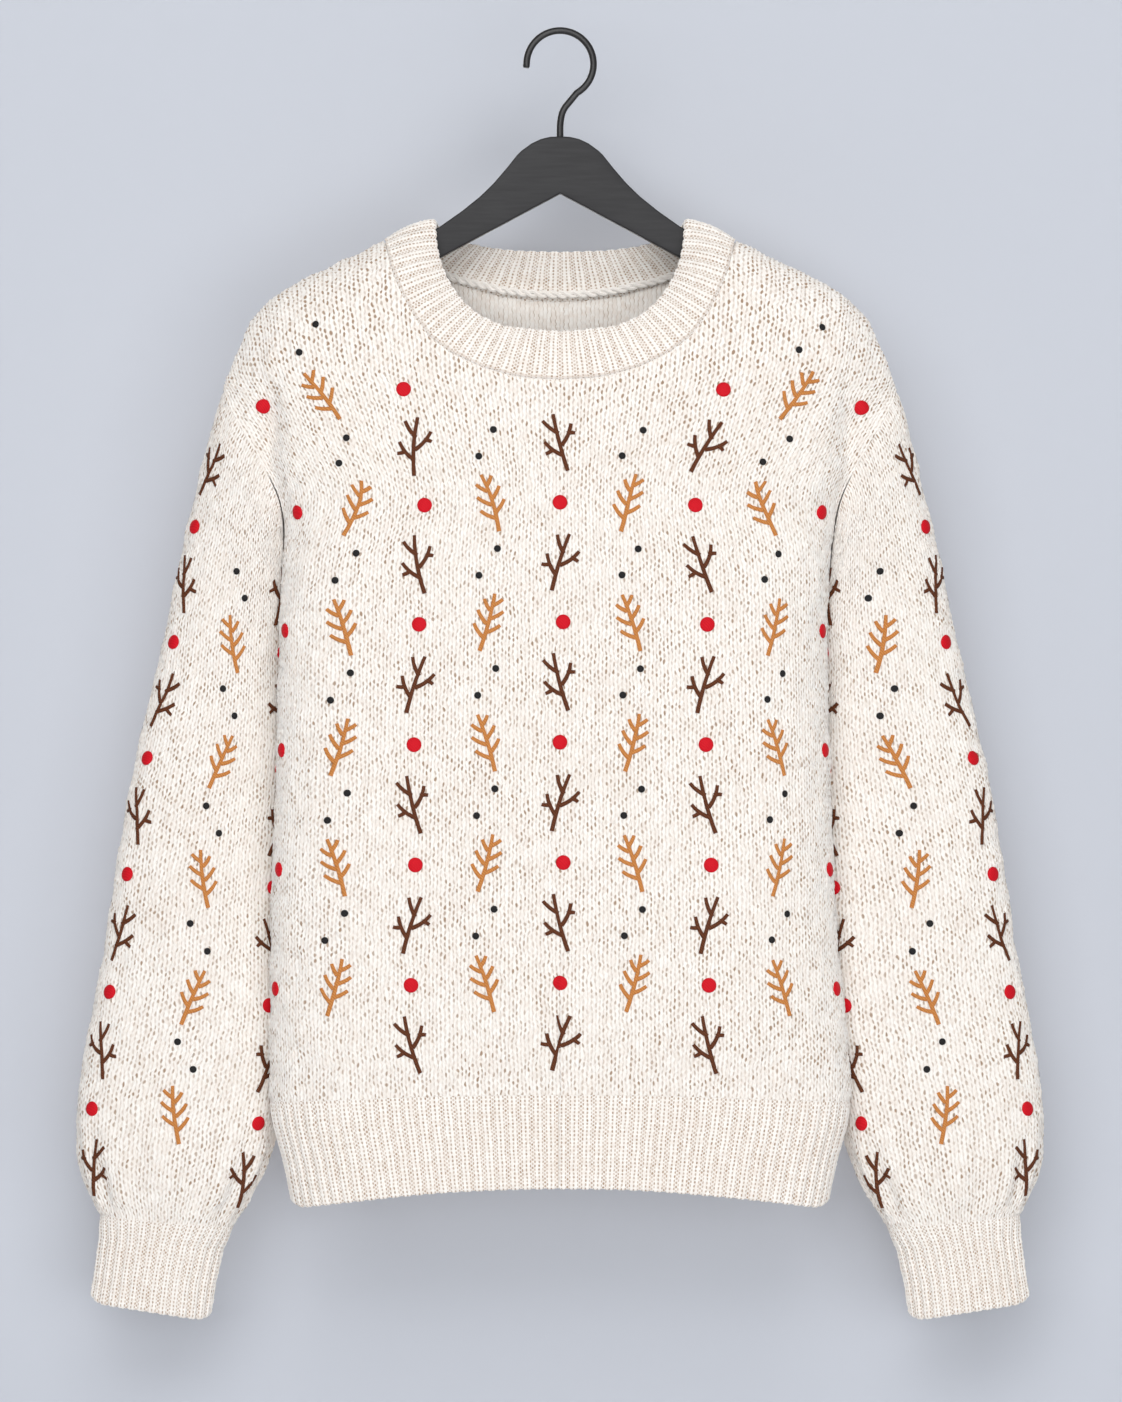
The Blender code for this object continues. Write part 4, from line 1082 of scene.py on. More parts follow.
def sleeveSurface(down, turn):
    # The outside of the sleeve on +x at a share of its length and an angle round it.
    deep = np.interp(down, *sleeveDepth[1])
    middleY = np.interp(down, *sleeveDepth[2])
    points = oval(*sleeveEnds(down), deep, middleY, turn)
    first = oval(*sleeveEnds(0.0 * down), body["armholeDepth"], 0.0, turn)
    fade = np.clip(1.0 - down / sleeve["seamFade"], 0.0, 1.0) ** 2
    points = points + (armholeEdge(turn) - first) * fade[..., None]
    inner = ((1.0 - np.cos(turn)) / 2.0) ** 2
    back = sleeve["innerBack"] * inner * ease(down / sleeve["innerBackStart"])
    points[..., 1] += back * ease((sleeve["innerBackEnd"] - down) / sleeve["innerBackFade"])
    swell = sleeve["swell"] * np.sin(down * sleeve["swellWave"] + 2.0 * turn)
    swell = swell * ease((down - 0.1) * 5.0) * ease((0.95 - down) * 8.0)
    ripple = ease((down - sleeve["gatherFrom"]) / sleeve["gatherFade"])
    ripple = ripple * ease((1.0 - down) / sleeve["gatherEnd"])
    waves = np.cos(sleeve["gathers"] * turn + 0.8 * np.sin(turn * 2.0))
    swell = swell + sleeve["gatherHeight"] * ripple * waves
    points[..., 0] += swell * np.cos(turn)
    points[..., 1] += swell * np.sin(turn)
    push = sleeve["seamGap"] + sleeve["seamPush"] * ease(down / 0.012) * fade
    points += push[..., None] * seamAim(turn)
    return points


def evenTurns(ringAt, count):
    # Angles at which points lie evenly round a ring.
    fine = np.linspace(0.0, 2.0 * np.pi, 721)
    ring = ringAt(fine)
    along = np.concatenate(((0.0,), np.cumsum(np.linalg.norm(np.diff(ring, axis=0), axis=1))))
    return np.interp(np.arange(count) * along[-1] / count, along, fine)


def sleeveLines():
    # Lines up the sleeve, four to a wale, from the cuff to the armhole.
    count = sleeve["wales"] * 4
    downs = np.linspace(1.0, 0.0, 520)
    lines = np.empty((count, len(downs), 3))
    for i, down in enumerate(downs):
        turns = evenTurns(lambda turn: sleeveSurface(np.full_like(turn, down), turn), count)
        lines[:, i] = sleeveSurface(np.full_like(turns, down), turns)
    return lines


def makeSleeve(name, side, nodes):
    shell = newShell()
    lines = sleeveLines()
    normals = lineNormals(lines, True)
    if normals[0, len(lines[0]) // 2, 0] < 0:
        normals = -normals
    mirror = np.array((side, 1.0, 1.0))
    lines = lines * mirror
    normals = normals * mirror
    along = distances(lines, knit["course"])
    outer, _, tops = stitchLayer(shell, lines, normals, along, True)
    inner, _ = insideLayer(shell, lines, normals, along, True)
    for row, band in bake["sleeveEnds"]:
        addRim(shell, outer[row], evenShares(outer[row]), inner[row], evenShares(inner[row]), band)
    piece = finishShell(shell, name, (stockinette, purlSide))
    declareKnit(nodes)
    return chart(lines, normals, along)


for word, side in (("left", 1.0), ("right", -1.0)):
    nodes = ("sleeve_" + word + "_upper", "sleeve_" + word + "_lower")
    charts[word] = makeSleeve(word + "Sleeve", side, nodes)


# heights of a rib's corners on two rows: sunk stitch, flank, leg, middle, leg, flank
ribHeights = np.array((
    (-1.0, -0.3, 1.0, 0.55, 1.0, -0.3),
    (-0.75, -0.35, 0.8, -0.1, 0.8, -0.35),
))


def makeBand(name, node, surface, band):
    # A tube of rib with a round free edge. surface gives points and normals at a share of its length.
    columns = band["ribs"] * rib["columns"]
    length = band["length"]
    wall = band["wall"]
    half = wall / 2.0
    reach = 1.0 - half / length
    down = unit(surface(1.0)[0] - surface(0.97)[0])
    pattern = np.arange(columns) % rib["columns"]
    rowsOut = int(round(length / rib["course"] * 2.0))
    rows = []
    v = []
    for i in range(rowsOut + 1):
        at = i / rowsOut * reach
        points, out = surface(at)
        fade = ease(at * length / band["emerge"])
        height = ribHeights[i % 2, pattern] * rib["relief"] * fade
        height = height * chance.uniform(*rib["reliefLuck"], height.shape)
        height = height - band["startDip"] * (1.0 - fade)
        shift = chance.uniform(-1.0, 1.0, points.shape) * rib["uneven"] * fade
        rows.append(points + out * height[:, None] + shift)
        v.append(i / 2.0 + band["firstCourse"])
    points, out = surface(reach)
    centre = points - out * half
    low = ribHeights[:, pattern].mean(axis=0) * rib["relief"]
    for degrees in (30.0, 60.0, 90.0, 120.0, 150.0):
        angle = np.radians(degrees)
        outward = (half + low * 0.5 * (1.0 + np.cos(angle))) * np.cos(angle)
        onward = (half + low * 0.45) * np.sin(angle)
        rows.append(centre + out * outward[:, None] + down * onward[:, None])
        v.append(v[-1] + rib["edgeCourse"])
    rowsIn = rowsOut // 2
    for i in range(rowsIn + 1):
        at = (1.0 - i / rowsIn) * reach
        points, out = surface(at)
        fade = ease(at * length / rib["insideFade"])
        thick = wall * (1.0 - rib["insideThin"] + rib["insideThin"] * fade)
        deep = thick + ribHeights[i % 2, pattern] * rib["insideRelief"] * fade
        rows.append(points - out * deep[:, None])
        v.append(v[-1] + length / rib["course"] / rowsIn)
    rows.append(rows[0])
    v.append(v[-1] + 1.0)
    grid = np.array(rows)
    count = len(grid)
    keep = np.broadcast_to(np.arange(count)[:, None], (count, columns)).copy()
    keep[-1] = 0
    u = np.arange(columns + 1) / rib["columns"]
    knitUv = np.stack(np.broadcast_arrays(u[None, :], np.array(v)[:, None]), axis=-1)
    up = np.linspace(0.0, 1.0, count)
    bakeUv = np.stack(np.broadcast_arrays(u[None, :] / u[-1], up[:, None]), axis=-1)
    shell = newShell()
    addLayer(shell, grid, keep, knitUv, bakeUv, 0, True)
    piece = finishShell(shell, name, (ribbing,))
    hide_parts(node)


hem = {
    # share of the way down, half width as a share, depth as a share
    "rows": [(0.0, 1.0, 1.0), (0.25, 0.985, 0.97), (0.6, 0.952, 0.95), (1.0, 0.923, 0.95)],
    "endZ": -746.5,
    "endDrop": 15.0,
    "endX": 174.0,
    "cornerLift": 4.0,
    "cornerFrom": 0.95,
    "cornerMost": 1.2,
    "topGap": 0.1,
    "ribs": 100,
    "period": 7.8,
    "wall": 3.4,
    "length": 62.0,
    "emerge": 9.0,
    "startDip": 0.0,
    "firstCourse": 0.0,
}


def hemLoop(count):
    # The panels' lower edge, along the front from -x and back behind.
    x = np.sin(np.linspace(-0.5, 0.5, 500) * np.pi) * float(bodyValue(1, body["hemTopZ"]))
    z = hemTopZ(x)
    ahead = np.stack((x, bodyY(x, z, True), z), axis=-1)
    behind = np.stack((x, bodyY(x, z, False), z), axis=-1)
    return resample(np.concatenate((ahead, behind[-2:0:-1])), count)


def hemSurface(at):
    sideY = float(bodyValue(4, body["hemTopZ"]))
    low = hemTop.copy()
    low[:, 0] = hemTop[:, 0] * np.interp(at, *smoothCurve(hem["rows"], 1))
    low[:, 1] = sideY + (hemTop[:, 1] - sideY) * np.interp(at, *smoothCurve(hem["rows"], 2))
    end = hem["endZ"] - hem["endDrop"] * (low[:, 0] / hem["endX"]) ** 2
    corner = (np.abs(low[:, 0]) / hem["endX"] - hem["cornerFrom"]) / (1.0 - hem["cornerFrom"])
    end = end + hem["cornerLift"] * np.clip(corner, 0.0, hem["cornerMost"]) ** 2
    low[:, 2] = hemTop[:, 2] + (end - hemTop[:, 2]) * at - hem["topGap"]
    ahead = np.roll(low, -1, axis=0) - np.roll(low, 1, axis=0)
    out = np.stack((ahead[:, 1], -ahead[:, 0], 0.0 * ahead[:, 0]), axis=-1)
    return low, unit(out)


hemTop = hemLoop(hem["ribs"] * rib["columns"])
makeBand("hemRib", "hem_rib", hemSurface, hem)


cuff = {
    # share of the way down, outer edge x, z, inner edge x, z, half depth
    "rows": [
        (0.0, 300.2, -768.1, 213.0, -776.1, 26.0),
        (0.25, 300.2, -782.0, 220.4, -791.5, 22.5),
        (0.6, 302.9, -802.5, 225.4, -813.8, 21.5),
        (1.0, 306.0, -826.6, 228.6, -838.8, 21.5),
    ],
    "middleY": 18.0,
    "ribs": 29,
    "period": 7.2,
    "wall": 4.0,
    "length": 61.0,
    "emerge": 12.0,
    "startDip": 0.0,
    "firstCourse": 0.0,
    "cornerLift": 4.5,
    "cornerPower": 12,
    "tilt": 2.0,
    "squareLess": 0.1,
    "axis": (0.15, 0.0, -0.989),
}
cuffCurves = [smoothCurve(cuff["rows"], column) for column in range(6)]


def cuffRing(at, turn):
    # The free edge is a little higher at its two ends and lower behind.
    values = [np.interp(at, *cuffCurves[column]) for column in range(1, 6)]
    power = sleeve["square"] + cuff["squareLess"] * float(ease(at / 0.3))
    ring = oval(*values, cuff["middleY"], turn, power)
    ring[:, 2] += cuff["cornerLift"] * np.cos(turn) ** cuff["cornerPower"] * ease((at - 0.7) / 0.3)
    ring[:, 2] -= cuff["tilt"] * np.sin(turn) * at
    return ring


def makeCuff(name, node, side):
    mirror = np.array((side, 1.0, 1.0))
    count = cuff["ribs"] * rib["columns"]

    def surface(at):
        turns = evenTurns(lambda turn: cuffRing(at, turn), count)
        points = cuffRing(at, turns)
        around = np.roll(points, -1, axis=0) - np.roll(points, 1, axis=0)
        out = unit(np.cross(around, np.array(cuff["axis"])))
        if out[0, 0] < 0:
            out = -out
        return points * mirror, out * mirror

    makeBand(name, node, surface, cuff)


makeCuff("leftCuff", "cuff_left", 1.0)
makeCuff("rightCuff", "cuff_right", -1.0)


neck = {
    # degrees from the middle, z of the top edge in front, and behind
    "topFront": [
        (0.0, -194.6),
        (18.7, -191.2),
        (32.5, -183.8),
        (44.2, -174.2),
        (55.5, -162.4),
        (65.8, -150.0),
        (75.0, -137.0),
        (82.0, -126.2),
        (86.0, -122.0),
        (90.0, -120.6),
    ],
    "topBack": [
        (0.0, -139.3),
        (14.3, -138.4),
        (28.7, -136.2),
        (39.8, -133.8),
        (59.5, -127.6),
        (78.0, -122.4),
        (84.0, -121.0),
        (90.0, -120.6),
    ],
    "topX": 81.25,
    "topFrontY": -36.0,
    "topBackY": 30.0,
    "square": 0.72,
    "crown": 2.5,
    "footGap": 0.3,
    "ribs": 64,
    "period": 7.8,
    "wall": 3.6,
    "length": 37.0,
    "emerge": 2.0,
    "startDip": -1.2,
    "firstCourse": 100.0,
}


def neckTop(count):
    # The neckband's top edge, from the front middle round over +x.
    turn = np.linspace(0.0, 2.0 * np.pi, 1441)
    degrees = np.degrees(turn)
    inFront = (degrees <= 90.0) | (degrees >= 270.0)
    topFront = np.array(neck["topFront"])
    topBack = np.array(neck["topBack"])
    x = neck["topX"] * squared(np.sin(turn), neck["square"])
    y = squared(np.cos(turn), neck["square"]) * np.where(inFront, neck["topFrontY"], -neck["topBackY"])
    onFront = np.interp(np.minimum(degrees, 360.0 - degrees), topFront[:, 0], topFront[:, 1])
    onBack = np.interp(np.abs(180.0 - degrees), topBack[:, 0], topBack[:, 1])
    z = np.where(inFront, onFront, onBack)
    return resample(np.stack((x, y, z), axis=-1)[:-1], count)


def neckFoot(count):
    # The panels' neckline, from the front middle round over +x.
    across = np.sin(np.linspace(0.0, 0.5, 300) * np.pi) * body["neckX"]
    short = across - 1e-6  # keeps the last point on the neckline, short of the shoulder
    frontZ = topZ(short, True)
    backZ = topZ(short, False)
    front = np.stack((across, bodyY(across, frontZ, True), frontZ), axis=-1)
    back = np.stack((across, bodyY(across, backZ, False), backZ), axis=-1)
    front[-1, 1] = 0.0
    flip = np.array((-1.0, 1.0, 1.0))
    loop = (front, back[-2:0:-1], back * flip, front[-1:0:-1] * flip)
    return resample(np.concatenate(loop), count)


neckCount = neck["ribs"] * rib["columns"]
foot = neckFoot(neckCount)
head = neckTop(neckCount)
toward = unit(head - foot)
foot = foot + neck["footGap"] * toward
neckAround = np.roll(head + foot, -3, axis=0) - np.roll(head + foot, 3, axis=0)
neckOut = unit(np.cross(neckAround, toward))
if neckOut[0, 1] > 0:
    neckOut = -neckOut


def neckSurface(at):
    return foot + (head - foot) * at + neckOut * neck["crown"] * 4.0 * at * (1.0 - at), neckOut


makeBand("neckBand", "neckband", neckSurface, neck)


def select(*pieces):
    bpy.ops.object.select_all(action="DESELECT")
    for piece in pieces:
        piece.select_set(True)
    bpy.context.view_layer.objects.active = pieces[-1]


def wire(name, points, radius, sides, tips=()):
    # A round rod along a line of points.
    bpy.ops.curve.primitive_bezier_curve_add()
    piece = bpy.context.object
    piece.name = name
    data = piece.data
    data.splines.clear()
    spline = data.splines.new("POLY")
    spline.points.add(len(points) - 1)
    for point, at in zip(spline.points, points):
        point.co = (*(float(value) * mm for value in at), 1.0)
    for index, size in tips:
        spline.points[index].radius = size
    data.bevel_depth = radius * mm
    data.bevel_resolution = sides // 2 - 2
    data.use_fill_caps = True
    select(piece)
    bpy.ops.object.convert(target="MESH")
    bpy.ops.object.shade_smooth_by_angle(angle=np.radians(creases["wire"]))
    return bpy.context.object


tape = {
    "reach": 0.31,  # share of the neck's round at which it starts and ends
    "inside": 0.8,  # share of the neckband's wall
    "depth": 1.9,
    "rise": 4.6,
    "strand": 1.45,
    "turn": 1.5,
    "flat": 0.45,
    "pitch": 6.6,
    "steps": 480,
}


def makeTape():
    # The linked seam inside the back neck: two strands twisted round each other.
    span = np.arange(neckCount)
    behind = (span > neckCount * tape["reach"]) & (span < neckCount * (1.0 - tape["reach"]))
    inside = foot - neckOut * neck["wall"] * tape["inside"]
    line = inside[behind] - tape["depth"] * neckOut[behind] + tape["rise"] * toward[behind]
    along = np.concatenate(((0.0,), np.cumsum(np.linalg.norm(np.diff(line, axis=0), axis=1))))
    wanted = np.linspace(0.0, along[-1], tape["steps"])

    def smooth(values):
        return np.stack([np.interp(wanted, along, values[:, k]) for k in range(3)], axis=-1)

    path = smooth(line)
    up = smooth(toward[behind])
    out = smooth(neckOut[behind])
    strands = []
    for k in range(2):
        turn = wanted / tape["pitch"] * np.pi + k * np.pi
        aside = up * np.cos(turn)[:, None] + tape["flat"] * out * np.sin(turn)[:, None]
        points = path + tape["turn"] * aside
        strands.append(wire("strand", hung(points), tape["strand"], 6))
    select(*strands)
    bpy.ops.object.join()
    cord = bpy.context.object
    cord.name = "neckSeam"
    cord.data.materials.clear()
    cord.data.materials.append(cordMaterial)
    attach(cord, "root")
    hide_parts("neck_tape")


def cordGroup():
    tree, out = newGroup("cord yarn")
    fine = noise(tree, 1300.0, 2.0)
    colour = yarnTone(tree, noise(tree, 260.0, 2.0), fine)
    return endGroup(tree, out, colour, bump(tree, fine, 0.7, 0.0007))


cordMaterial = newMaterial("cord yarn", cordGroup(), woolFinish)
makeTape()
print("neck seam made")


hanger = {
    # x, top z, bottom z
    "rows": [
        (0.0, -66.9, -104.0),
        (6.0, -67.1, -107.2),
        (12.0, -68.4, -110.4),
        (18.2, -71.2, -113.7),
        (26.6, -77.3, -118.2),
        (34.4, -87.2, -122.4),
        (42.9, -97.1, -126.9),
        (51.3, -105.4, -131.4),
        (63.7, -115.4, -138.0),
        (79.6, -126.6, -146.5),
        (96.0, -134.4, -154.6),
        (113.75, -139.4, -161.6),
        (140.0, -152.6, -173.0),
        (162.0, -163.6, -181.4),
        (172.0, -169.0, -183.6),
        (176.5, -172.0, -182.6),
        (178.2, -174.4, -179.6),
    ],
    "thick": 10.0,
    "round": 2.2,
    "sweep": 3.0,
    "steps": (150, 4),
    "crowding": 0.55,  # how far the steps draw together at the two ends
    "dark": linear(48, 48, 50),
    "light": linear(56, 56, 58),
}
hook = {
    "wire": 2.25,
    "bend": 21.75,
    # x, z up the stem
    "stem": [
        (0.0, -80.9),
        (0.0, -70.0),
        (0.0, -64.0),
        (0.0, -60.0),
        (0.25, -57.0),
        (0.7, -54.0),
        (1.3, -51.6),
        (2.2, -49.4),
        (3.6, -47.1),
        (5.4, -45.0),
    ],
    "tip": 0.72,
    "dark": linear(30, 30, 32),
    "light": linear(44, 44, 46),
}


def hangerGroup():
    tree, out = newGroup("charcoal lacquer")
    grain = noise(tree, 40.0, 4.0, stretch=(1.0, 6.0, 12.0))
    cloud = times(tree, noise(tree, 18.0, 2.0), 0.6)
    share = smoothStep(tree, plus(tree, grain, cloud), 0.5, 1.15)
    colour = mixColour(tree, share, hanger["dark"], hanger["light"])
    return endGroup(tree, out, colour, bump(tree, grain, 0.12, 0.0003))


def wireGroup():
    tree, out = newGroup("black coating")
    speck = noise(tree, 900.0, 3.0)
    colour = mixColour(tree, smoothStep(tree, speck, 0.4, 0.7), hook["dark"], hook["light"])
    return endGroup(tree, out, colour, bump(tree, speck, 0.15, 0.0002))


lacquer = newMaterial("charcoal lacquer", hangerGroup(), {"Roughness": 0.42, "Specular IOR Level": 0.2})
coating = newMaterial("black coating", wireGroup(), {"Roughness": 0.35, "Specular IOR Level": 0.5})


def makeHanger():
    rows = np.array(hanger["rows"])
    along, up = hanger["steps"]
    bpy.ops.mesh.primitive_grid_add(x_subdivisions=along, y_subdivisions=up, size=2.0)
    board = bpy.context.object
    board.name = "hangerBoard"
    count = len(board.data.vertices)
    places = np.empty(count * 3)
    board.data.vertices.foreach_get("co", places)
    places = places.reshape(-1, 3)
    crowding = hanger["crowding"]
    x = np.sin(places[:, 0] * np.pi / 2.0) * crowding + places[:, 0] * (1.0 - crowding)
    x = x * rows[-1, 0]
    top = np.interp(np.abs(x), rows[:, 0], rows[:, 1])
    bottom = np.interp(np.abs(x), rows[:, 0], rows[:, 2])
    z = bottom + (top - bottom) * (places[:, 1] + 1.0) / 2.0
    flat = np.stack((x, 0.0 * x, z), axis=-1) * mm
    board.data.vertices.foreach_set("co", flat.ravel())
    select(board)
    solid = board.modifiers.new("thickness", "SOLIDIFY")
    solid.thickness = hanger["thick"] * mm
    solid.offset = 0.0
    edge = board.modifiers.new("edge", "BEVEL")
    edge.width = hanger["round"] * mm
    edge.segments = 3
    edge.limit_method = "ANGLE"
    edge.angle_limit = np.radians(60.0)
    bpy.ops.object.convert(target="MESH")
    board = bpy.context.object
    places = np.empty(len(board.data.vertices) * 3)
    board.data.vertices.foreach_get("co", places)
    places = places.reshape(-1, 3)
    places[:, 1] -= hanger["sweep"] * mm * (np.abs(places[:, 0]) / (rows[-1, 0] * mm)) ** 3
    board.data.vertices.foreach_set("co", places.ravel())
    bpy.ops.object.mode_set(mode="EDIT")
    bpy.ops.mesh.select_all(action="SELECT")
    bpy.ops.mesh.normals_make_consistent(inside=False)
    bpy.ops.object.mode_set(mode="OBJECT")
    bpy.ops.object.shade_smooth_by_angle(angle=np.radians(creases["board"]))
    board.data.materials.append(lacquer)
    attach(board, "root")
    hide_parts("hanger_body")


def makeHook():
    centreZ = hook["wire"] - hook["bend"]
    points = list(hook["stem"])
    for degrees in range(-60, 181, 5):
        angle = np.radians(degrees)
        points.append((hook["bend"] * np.cos(angle), centreZ + hook["bend"] * np.sin(angle)))
    points += [(-hook["bend"] - 0.25, centreZ - 1.6), (-hook["bend"] - 0.4, centreZ - 2.6)]
    path = [(x, 0.0, z) for x, z in points]
    rod = wire("hangerHook", path, hook["wire"], 16, ((-1, hook["tip"]),))
    rod.data.materials.clear()
    rod.data.materials.append(coating)
    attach(rod, "root")
    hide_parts("hanger_hook")


makeHanger()
makeHook()
print("hanger made")


def threadMaterial(name, dark, light):
    # Embroidery thread, with a fine twist across its strands, painted darker in the twist's grooves as
    # shade and lighter on its ridges as light, with random fuzz.
    tree, out = newGroup(name)
    place = tree.nodes.new("ShaderNodeTexCoord")
    wave = tree.nodes.new("ShaderNodeTexWave")
    wave.bands_direction = "DIAGONAL"
    wave.inputs["Scale"].default_value = threadLook["twistScale"]
    wave.inputs["Distortion"].default_value = 2.0
    wave.inputs["Detail"].default_value = 2.0
    tree.links.new(place.outputs["Object"], wave.inputs["Vector"])
    twist = times(tree, wave.outputs["Fac"], threadLook["twist"])
    fuzz = times(tree, noise(tree, threadLook["fuzzScale"], 2.0), threadLook["fuzz"])
    share = plus(tree, twist, fuzz)
    # painted shade and light that follow the twist's relief, and random tone from the fuzz
    colour = mixColour(tree, smoothStep(tree, share, 0.2, 0.9), dark, light)
    endGroup(tree, out, colour, bump(tree, share, 0.6, threadLook["depth"]))
    return newMaterial(name, tree, threadLook["finish"])


threadLook = {
    "twistScale": 330.0,
    "twist": 0.35,
    "fuzzScale": 1300.0,
    "fuzz": 0.5,
    "depth": 0.0005,
    "finish": {"Roughness": 0.7, "Specular IOR Level": 0.25, "Sheen Weight": 0.04},
}
threads = {
    "brown": threadMaterial("brown thread", linear(84, 42, 20), linear(120, 68, 38)),
    "caramel": threadMaterial("caramel thread", linear(190, 120, 58), linear(224, 156, 90)),
    "red": threadMaterial("red thread", linear(206, 4, 26), linear(226, 14, 40)),
    "charcoal": threadMaterial("charcoal thread", linear(26, 26, 28), linear(44, 43, 45)),
}

# strokes as start x, y, end x, y, and how far the middle bends sideways
sprigs = {
    "brown": [
        (0.0, -19.0, 1.0, 19.0, 1.2),
        (0.2, -9.0, -9.5, 3.0, 1.5),
        (0.5, -2.0, 10.0, 10.0, -1.5),
        (0.9, 6.0, -6.5, 16.5, 1.0),
        (-5.5, -3.0, -11.0, -4.5, 0.5),
        (6.0, 4.5, 11.0, 3.5, 0.5),
    ],
    "caramel": [
        (0.0, -19.0, -1.0, 19.0, -1.2),
        (-0.3, -10.0, -8.5, -3.0, 0.8),
        (-0.3, -7.0, 8.0, 0.5, -0.8),
        (-0.6, -1.0, -8.5, 6.0, 0.8),
        (-0.6, 2.0, 7.5, 9.5, -0.8),
        (-0.9, 8.0, -6.5, 14.0, 0.6),
        (-0.9, 11.0, 5.0, 17.0, -0.6),
    ],
}
stitching = {
    "halfWidth": 1.4,
    "flat": 0.6,
    "proud": 0.6,
    "berry": 4.8,
    "berryHeight": 1.5,
    "berrySteps": (20, 8),  # round, and from top to bottom
    "seed": 2.3,
    "seedHeight": 1.1,
    "seedSteps": (12, 6),
    "tip": 0.8,
}
layout = {
    "across": 45.0,
    "up": 77.0,
    "firstUp": 34.0,
    "rows": 8,
    "lean": 16.0,
    # places between two sprigs of a column, as x, y
    "seeds": [(5.0, 9.0), (-6.0, -8.0)],
    "berryShift": 2.0,
    "berryTurn": 20.0,
    # room that each needs to the edges of its cloth
    "room": {"brown": 22.0, "caramel": 22.0, "red": 9.0, "charcoal": 6.0},
}
pieceNames = {
    "brown": "brownSprigs",
    "caramel": "caramelSprigs",
    "red": "redBerries",
    "charcoal": "darkSeeds",
}


def sprigShape(strokes):
    parts = []
    for x0, y0, x1, y1, bend in strokes:
        bpy.ops.curve.primitive_bezier_curve_add()
        stroke = bpy.context.object
        first, last = stroke.data.splines[0].bezier_points
        aside = Vector((-(y1 - y0), x1 - x0, 0.0)).normalized() * bend
        start = Vector((x0, y0, 0.0))
        end = Vector((x1, y1, 0.0))
        for point, at, other in ((first, start, end), (last, end, start)):
            point.handle_left_type = point.handle_right_type = "FREE"
            point.co = at
            inner = at + (other - at) * 0.35 + aside
            outer = at - (other - at) * 0.1
            point.handle_left = outer if point == first else inner
            point.handle_right = inner if point == first else outer
        last.radius = stitching["tip"]
        stroke.data.resolution_u = 7
        stroke.data.bevel_depth = stitching["halfWidth"]
        stroke.data.bevel_resolution = 1
        stroke.data.use_fill_caps = True
        select(stroke)
        bpy.ops.object.convert(target="MESH")
        parts.append(bpy.context.object)
    return takeShape(parts)


def domeShape(radius, height, segments, rings):
    bpy.ops.mesh.primitive_uv_sphere_add(segments=segments, ring_count=rings, radius=radius)
    dome = bpy.context.object
    dome.scale.z = height / radius / stitching["flat"]
    select(dome)
    bpy.ops.object.transform_apply(location=False, rotation=False, scale=True)
    return takeShape([dome])


def takeShape(parts):
    # Joins the parts, and keeps their corners and triangles for copying.
    select(*parts)
    if len(parts) > 1:
        bpy.ops.object.join()
    piece = bpy.context.object
    bpy.ops.object.mode_set(mode="EDIT")
    bpy.ops.mesh.select_all(action="SELECT")
    bpy.ops.mesh.quads_convert_to_tris()
    bpy.ops.object.mode_set(mode="OBJECT")
    corners = np.array([vertex.co[:] for vertex in piece.data.vertices])
    corners[:, 2] *= stitching["flat"]
    faces = np.array([polygon.vertices[:] for polygon in piece.data.polygons])
    bpy.data.objects.remove(piece, do_unlink=True)
    return corners, faces


def onCloth(cloth, wales, courses):
    # Points and normals of the cloth, read between its samples.
    q = np.clip(wales * 4.0, 0.0, cloth["points"].shape[1] - 1.001)
    r = np.clip(courses * 2.0, 0.0, cloth["points"].shape[0] - 1.001)
    q0 = np.floor(q).astype(int)
    r0 = np.floor(r).astype(int)
    s = (q - q0)[:, None]
    t = (r - r0)[:, None]

    def read(values):
        low = values[r0, q0] * (1.0 - s) + values[r0, q0 + 1] * s
        high = values[r0 + 1, q0] * (1.0 - s) + values[r0 + 1, q0 + 1] * s
        return low * (1.0 - t) + high * t

    return read(cloth["points"]), unit(read(cloth["normals"]))


def sew(cloth, shape, x, y, lean):
    # A copy of a shape at x, y in millimetres of cloth, turned by lean and kept to its own size.
    turn = np.radians(lean)
    corners, _ = shape
    across = corners[:, 0] * np.cos(turn) - corners[:, 1] * np.sin(turn)
    up = corners[:, 0] * np.sin(turn) + corners[:, 1] * np.cos(turn)
    wale = x / knit["wale"]
    course = y / knit["course"]
    acrossSteps = np.array((-1.0, 1.0, 0.0, 0.0))
    upSteps = np.array((0.0, 0.0, -1.0, 1.0))
    around, _ = onCloth(cloth, wale + acrossSteps, course + upSteps)
    perWale = (around[1] - around[0]) / 2.0
    perCourse = (around[3] - around[2]) / 2.0
    upward = unit(perCourse)
    aside = unit(perWale - upward * perWale.dot(upward))
    spread = np.array((
        (perWale.dot(aside), perCourse.dot(aside)),
        (perWale.dot(upward), perCourse.dot(upward)),
    ))
    steps = np.linalg.solve(spread, np.stack((across, up)))
    points, normals = onCloth(cloth, wale + steps[0], course + steps[1])
    return points + normals * (corners[:, 2] + stitching["proud"])[:, None]


def clothWidth(cloth, wraps):
    return (cloth["points"].shape[1] - (0 if wraps else 1)) / 4.0 * knit["wale"]


